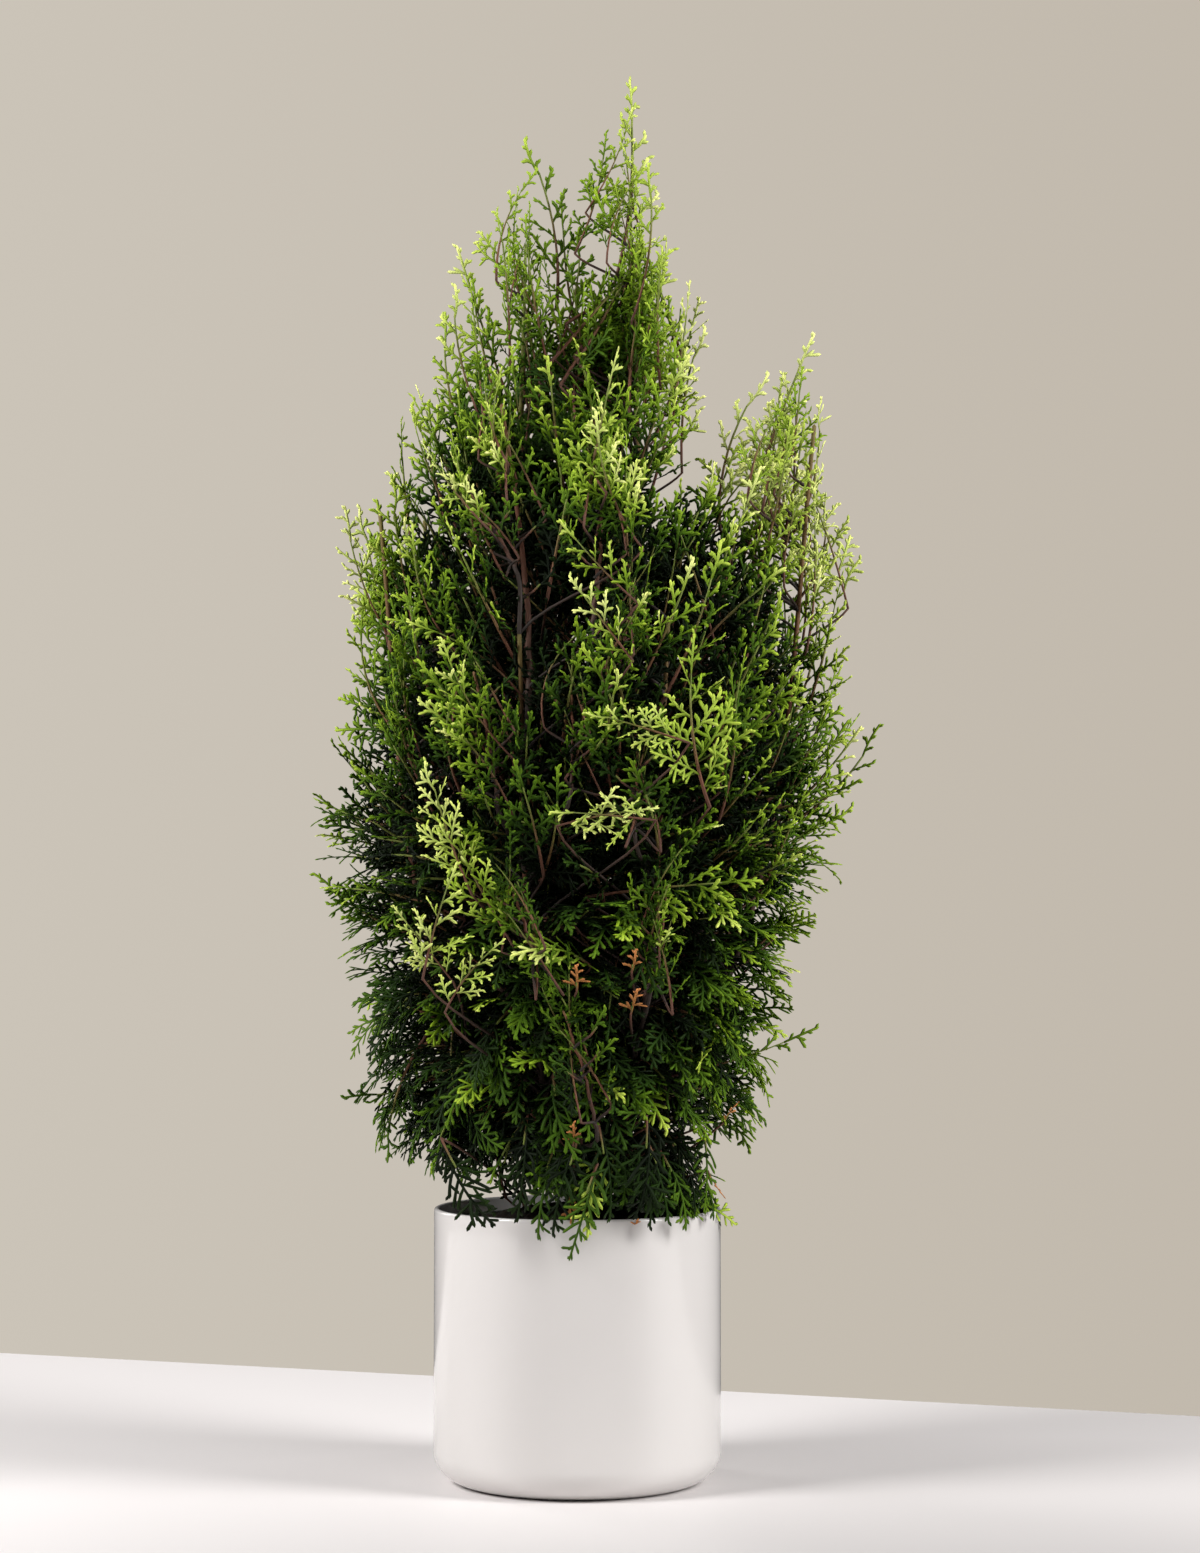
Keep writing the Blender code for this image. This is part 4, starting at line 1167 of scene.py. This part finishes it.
def steel_material():
    material, tree, shader = new_nodes("pin_steel")
    grain = noise(tree, 900.0, 2.0)
    tree.links.new(colour_ramp(tree, grain, STEEL_COLOURS), shader.inputs["Base Color"])
    shader.inputs["Metallic"].default_value = 1.0
    shader.inputs["Roughness"].default_value = 0.35
    return material


def turned_mesh(name, profile, segments):
    """A smooth solid of revolution from (radius, height) points that start and end on the axis."""
    profile = np.array(profile)
    angle = 2 * math.pi * np.arange(segments) / segments
    inner = profile[1:-1]
    ring = np.stack(
        [
            inner[:, 0][:, None] * np.cos(angle),
            inner[:, 0][:, None] * np.sin(angle),
            np.repeat(inner[:, 1][:, None], segments, axis=1),
        ],
        axis=2,
    ).reshape(-1, 3)
    points = [tuple(p) for p in ring] + [(0.0, 0.0, profile[0, 1]), (0.0, 0.0, profile[-1, 1])]
    first, last = len(ring), len(ring) + 1
    faces = []
    for step in range(segments):
        after = (step + 1) % segments
        faces.append((first, after, step))
        end = (len(inner) - 1) * segments
        faces.append((last, end + step, end + after))
        for row in range(len(inner) - 1):
            low, high = row * segments, (row + 1) * segments
            faces.append((low + step, low + after, high + after, high + step))
    mesh = bpy.data.meshes.new(name)
    mesh.from_pydata(points, [], faces)
    mesh.shade_smooth()
    return add_object(name, mesh)


def make_planter(material):
    lip = PLANTER_WALL / 2
    inner_corner = PLANTER_CORNER - PLANTER_WALL
    bore = PLANTER_RADIUS - PLANTER_WALL
    profile = [(0.0, 0.0), (0.02, 0.0), (0.044, 0.0)]
    profile += arc_points((PLANTER_RADIUS - PLANTER_CORNER, PLANTER_CORNER), PLANTER_CORNER, -90, 0, 16)
    profile += [(PLANTER_RADIUS, height) for height in np.linspace(0.02, 0.11, 10)]
    profile += arc_points((PLANTER_RADIUS - lip, PLANTER_HEIGHT - lip), lip, 0, 180, 10)
    profile += [(bore, height) for height in np.linspace(0.11, 0.02, 6)]
    profile += arc_points((bore - inner_corner, PLANTER_FLOOR + inner_corner), inner_corner, 0, -90, 10)
    profile += [(0.02, PLANTER_FLOOR), (0.0, PLANTER_FLOOR)]
    pot = turned_mesh("glazed_planter", profile, PLANTER_SEGMENTS)
    pot.data.materials.append(material)
    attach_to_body(pot, "planter")
    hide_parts("planter_pot")


def make_soil(material, rng):
    """A mounded, crumbly soil surface around the trunk."""
    edge = SOIL_RADIUS
    rings = np.linspace(0.0, edge, 44)
    profile = [(0.0, SOIL_EDGE_HEIGHT + SOIL_CROWN)]
    profile += [(r, SOIL_EDGE_HEIGHT + SOIL_CROWN * math.cos(r / edge * math.pi / 2)) for r in rings[1:]]
    profile += [(edge, SOIL_EDGE_HEIGHT - SOIL_DEPTH), (0.0, SOIL_EDGE_HEIGHT - SOIL_DEPTH)]
    profile.reverse()
    soil = turned_mesh("soil_surface", profile, 150)
    points = np.array([v.co for v in soil.data.vertices])
    above_edge = points[:, 2] > SOIL_EDGE_HEIGHT + 0.0003
    inside = above_edge & (np.hypot(points[:, 0], points[:, 1]) < edge - 0.002)
    points[inside, 2] += rng.uniform(-SOIL_ROUGHNESS, SOIL_ROUGHNESS, inside.sum())
    soil.data.vertices.foreach_set("co", points.astype(np.float32).ravel())
    soil.data.materials.append(material)
    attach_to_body(soil, "tree")
    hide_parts("soil_cover")


def attach(obj, body, slot, *nodes):
    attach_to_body(obj, body)
    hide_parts(*nodes)


def paint_nodes(nodes, names, material):
    for name in names:
        nodes[name].data.materials.clear()
        nodes[name].data.materials.append(material)


def make_tree(nodes, foliage, bark):
    templates = make_templates(np.random.default_rng(SEED))
    growers = [
        grow_bough(number, np.random.default_rng(SEED + number + 1), templates)
        for number in range(len(BOUGH_TOPS))
    ]
    grow_front(growers)
    for number, grower in enumerate(growers):
        body = f"bough_{number + 1}"
        ends = bough_curve(number)
        start = EYE_RADIUS * 0.7 / np.linalg.norm(ends[3] - ends[0])
        path = stem_path(ends, start, 1.0, 30)
        grower.wood.add(*tube(path, BOUGH_RADIUS, BOUGH_RADIUS * 0.6, 10, (0.02, 0.75), 0.5))
        add_eye(grower.wood, bough_angle(number))
        for cluster, leaves in enumerate(grower.leaves, start=1):
            sprays = leaves.build(f"{body}_sprays_{cluster}", foliage)
            attach(sprays, body, "foliage", f"{body}_fronds_{cluster}")
        attach(grower.wood.build(f"{body}_wood", bark), body, "bark", f"{body}_stem")
    make_fixed_foliage(nodes, templates, foliage, bark)


def make_fixed_foliage(nodes, templates, foliage, bark):
    """Everything that stays with the trunk: leaders, inner shoots and the skirt."""
    trunk = straight_ends((0.0, 0.0, TRUNK_FOOT), (0.0, 0.0, FORK_HEIGHT))
    leaders = (leader_curve(1, RIGHT_LEADER_TOP), leader_curve(-1, LEFT_LEADER_TOP))
    leader_fronds = [name for name in nodes if name.startswith("leader_")]
    top = grow_crown_top(np.random.default_rng(SEED + 20), templates, leaders)
    for cluster, leaves in enumerate(top.leaves):
        sprays = leaves.build(f"leader_sprays_{cluster + 1}", foliage)
        attach(sprays, "tree", "foliage", *leader_fronds[cluster :: len(top.leaves)])
    core = grow_core(np.random.default_rng(SEED + 21), templates, trunk)
    attach(core.leaves[0].build("inner_sprays", foliage), "tree", "foliage", "trunk_fronds")
    skirt = grow_skirt(np.random.default_rng(SEED + 22), templates, trunk)
    attach(skirt.leaves[0].build("skirt_sprays", foliage), "tree", "foliage", "skirt_fronds")
    wood = Soup()
    wood.add(*tube(stem_path(trunk, 0.0, 1.0, 24), TRUNK_RADIUS, FORK_RADIUS, 14, (0.02, 0.5), 0.45))
    for ends in leaders:
        path = stem_path(ends, 0.0, 0.9, 26)
        wood.add(*tube(path, LEADER_RADIUS * 1.5, LEADER_RADIUS * 0.35, 10, (0.3, 0.95), 0.55))
    for grower in (top, core, skirt):
        wood.add(*grower.wood.joined())
    attach(wood.build("trunk_and_twigs", bark), "tree", "bark", "trunk_stem")


def make_floor():
    """A pale table top whose far edge runs a little askew behind the planter."""
    material, tree, shader = new_nodes("pale_table")
    place = tree.nodes.new("ShaderNodeTexCoord")
    # A greyer patch in front of the planter: painted shade.
    away = tree.nodes.new("ShaderNodeVectorMath")
    away.operation = "DISTANCE"
    away.inputs[1].default_value = PAINTED_SHADE_CENTRE
    tree.links.new(place.outputs["Object"], away.inputs[0])
    spread = tree.nodes.new("ShaderNodeMapRange")
    spread.inputs["From Min"].default_value = PAINTED_SHADE_RADII[0]
    spread.inputs["From Max"].default_value = PAINTED_SHADE_RADII[1]
    tree.links.new(away.outputs["Value"], spread.inputs["Value"])
    tree.links.new(colour_ramp(tree, spread.outputs["Result"], TABLE_COLOURS), shader.inputs["Base Color"])
    shader.inputs["Roughness"].default_value = 0.6
    far_left, far_right = TABLE_FAR_EDGE
    outline = [far_left, (far_left[0], TABLE_NEAR), (far_right[0], TABLE_NEAR), far_right]
    points = [(x, y, level) for level in (0.0, -TABLE_THICKNESS) for x, y in outline]
    faces = [(0, 1, 2, 3), (7, 6, 5, 4), (0, 4, 5, 1), (1, 5, 6, 2), (2, 6, 7, 3), (3, 7, 4, 0)]
    mesh = bpy.data.meshes.new("table_top")
    mesh.from_pydata(points, [], faces)
    mesh.materials.append(material)
    table = add_object("table_top", mesh)


def add_area_light(name, place, target, size, power, colour):
    data = bpy.data.lights.new(name, "AREA")
    data.shape = "RECTANGLE"
    data.size, data.size_y = size
    data.energy = power
    data.color = colour
    light = add_object(name, data)
    light.location = place
    way = np.array(target) - np.array(place)
    light.rotation_euler = Vector(way).to_track_quat("-Z", "Y").to_euler()
    light.visible_camera = False


def make_lights():
    world = bpy.data.worlds.new("room")
    world.use_nodes = True
    tree = world.node_tree
    seen = tree.nodes["Background"]
    place = tree.nodes.new("ShaderNodeTexCoord")
    split = tree.nodes.new("ShaderNodeSeparateXYZ")
    tree.links.new(place.outputs["Generated"], split.inputs["Vector"])
    spread = tree.nodes.new("ShaderNodeMapRange")
    spread.inputs["From Min"].default_value = -WALL_HALF_SPREAD
    spread.inputs["From Max"].default_value = WALL_HALF_SPREAD
    tree.links.new(split.outputs["X"], spread.inputs["Value"])
    # Backdrop paler to the left and darker to the right: painted light.
    wall = colour_ramp(tree, spread.outputs["Result"], WALL_COLOURS)
    tree.links.new(wall, seen.inputs["Color"])
    ambient = tree.nodes.new("ShaderNodeBackground")
    ambient.inputs["Color"].default_value = (1.0, 0.98, 0.95, 1.0)
    ambient.inputs["Strength"].default_value = AMBIENT_STRENGTH
    rays = tree.nodes.new("ShaderNodeLightPath")
    mix = tree.nodes.new("ShaderNodeMixShader")
    tree.links.new(rays.outputs["Is Camera Ray"], mix.inputs["Fac"])
    tree.links.new(ambient.outputs["Background"], mix.inputs[1])
    tree.links.new(seen.outputs["Background"], mix.inputs[2])
    tree.links.new(mix.outputs["Shader"], tree.nodes["World Output"].inputs["Surface"])
    bpy.context.scene.world = world
    for light in LIGHTS:
        add_area_light(*light)


def make_camera():
    data = bpy.data.cameras.new("camera")
    data.sensor_width = CAMERA_SENSOR
    data.lens = CAMERA_LENS
    camera = add_object("camera", data)
    camera.location = (0.0, -CAMERA_DISTANCE, CAMERA_HEIGHT)
    rise = math.atan((CAMERA_AIM[1] - CAMERA_HEIGHT) / CAMERA_DISTANCE)
    turn = -math.atan(CAMERA_AIM[0] / CAMERA_DISTANCE)
    camera.rotation_euler = (math.pi / 2 + rise, 0.0, turn)
    bpy.context.scene.camera = camera


def main():
    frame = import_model()
    nodes = frame["nodes"]
    scene = bpy.context.scene
    scene.view_settings.view_transform = "Standard"
    scene.view_settings.look = "None"
    foliage = foliage_material()
    bark = bark_material()
    black, nearly_black = (0.012, 0.012, 0.012), (0.022, 0.022, 0.022)
    plastic = grained_material("black_plastic", black, nearly_black, 0.5, 500.0, 0.0002)
    cement = grained_material("grey_cement", (0.22, 0.21, 0.20), (0.38, 0.37, 0.35), 0.92, 140.0, 0.0008)
    soil = grained_material("dark_soil", (0.006, 0.004, 0.003), (0.045, 0.026, 0.015), 1.0, 260.0, 0.0015)
    make_planter(glaze_material())
    make_soil(soil, np.random.default_rng(SEED + 30))
    paint_nodes(nodes, ("liner_pot", "bough_hub"), plastic)
    paint_nodes(nodes, ("ballast_block",), cement)
    paint_nodes(nodes, [name for name in nodes if name.startswith("hinge_pin")], steel_material())
    make_tree(nodes, foliage, bark)
    make_floor()
    make_lights()
    make_camera()


main()
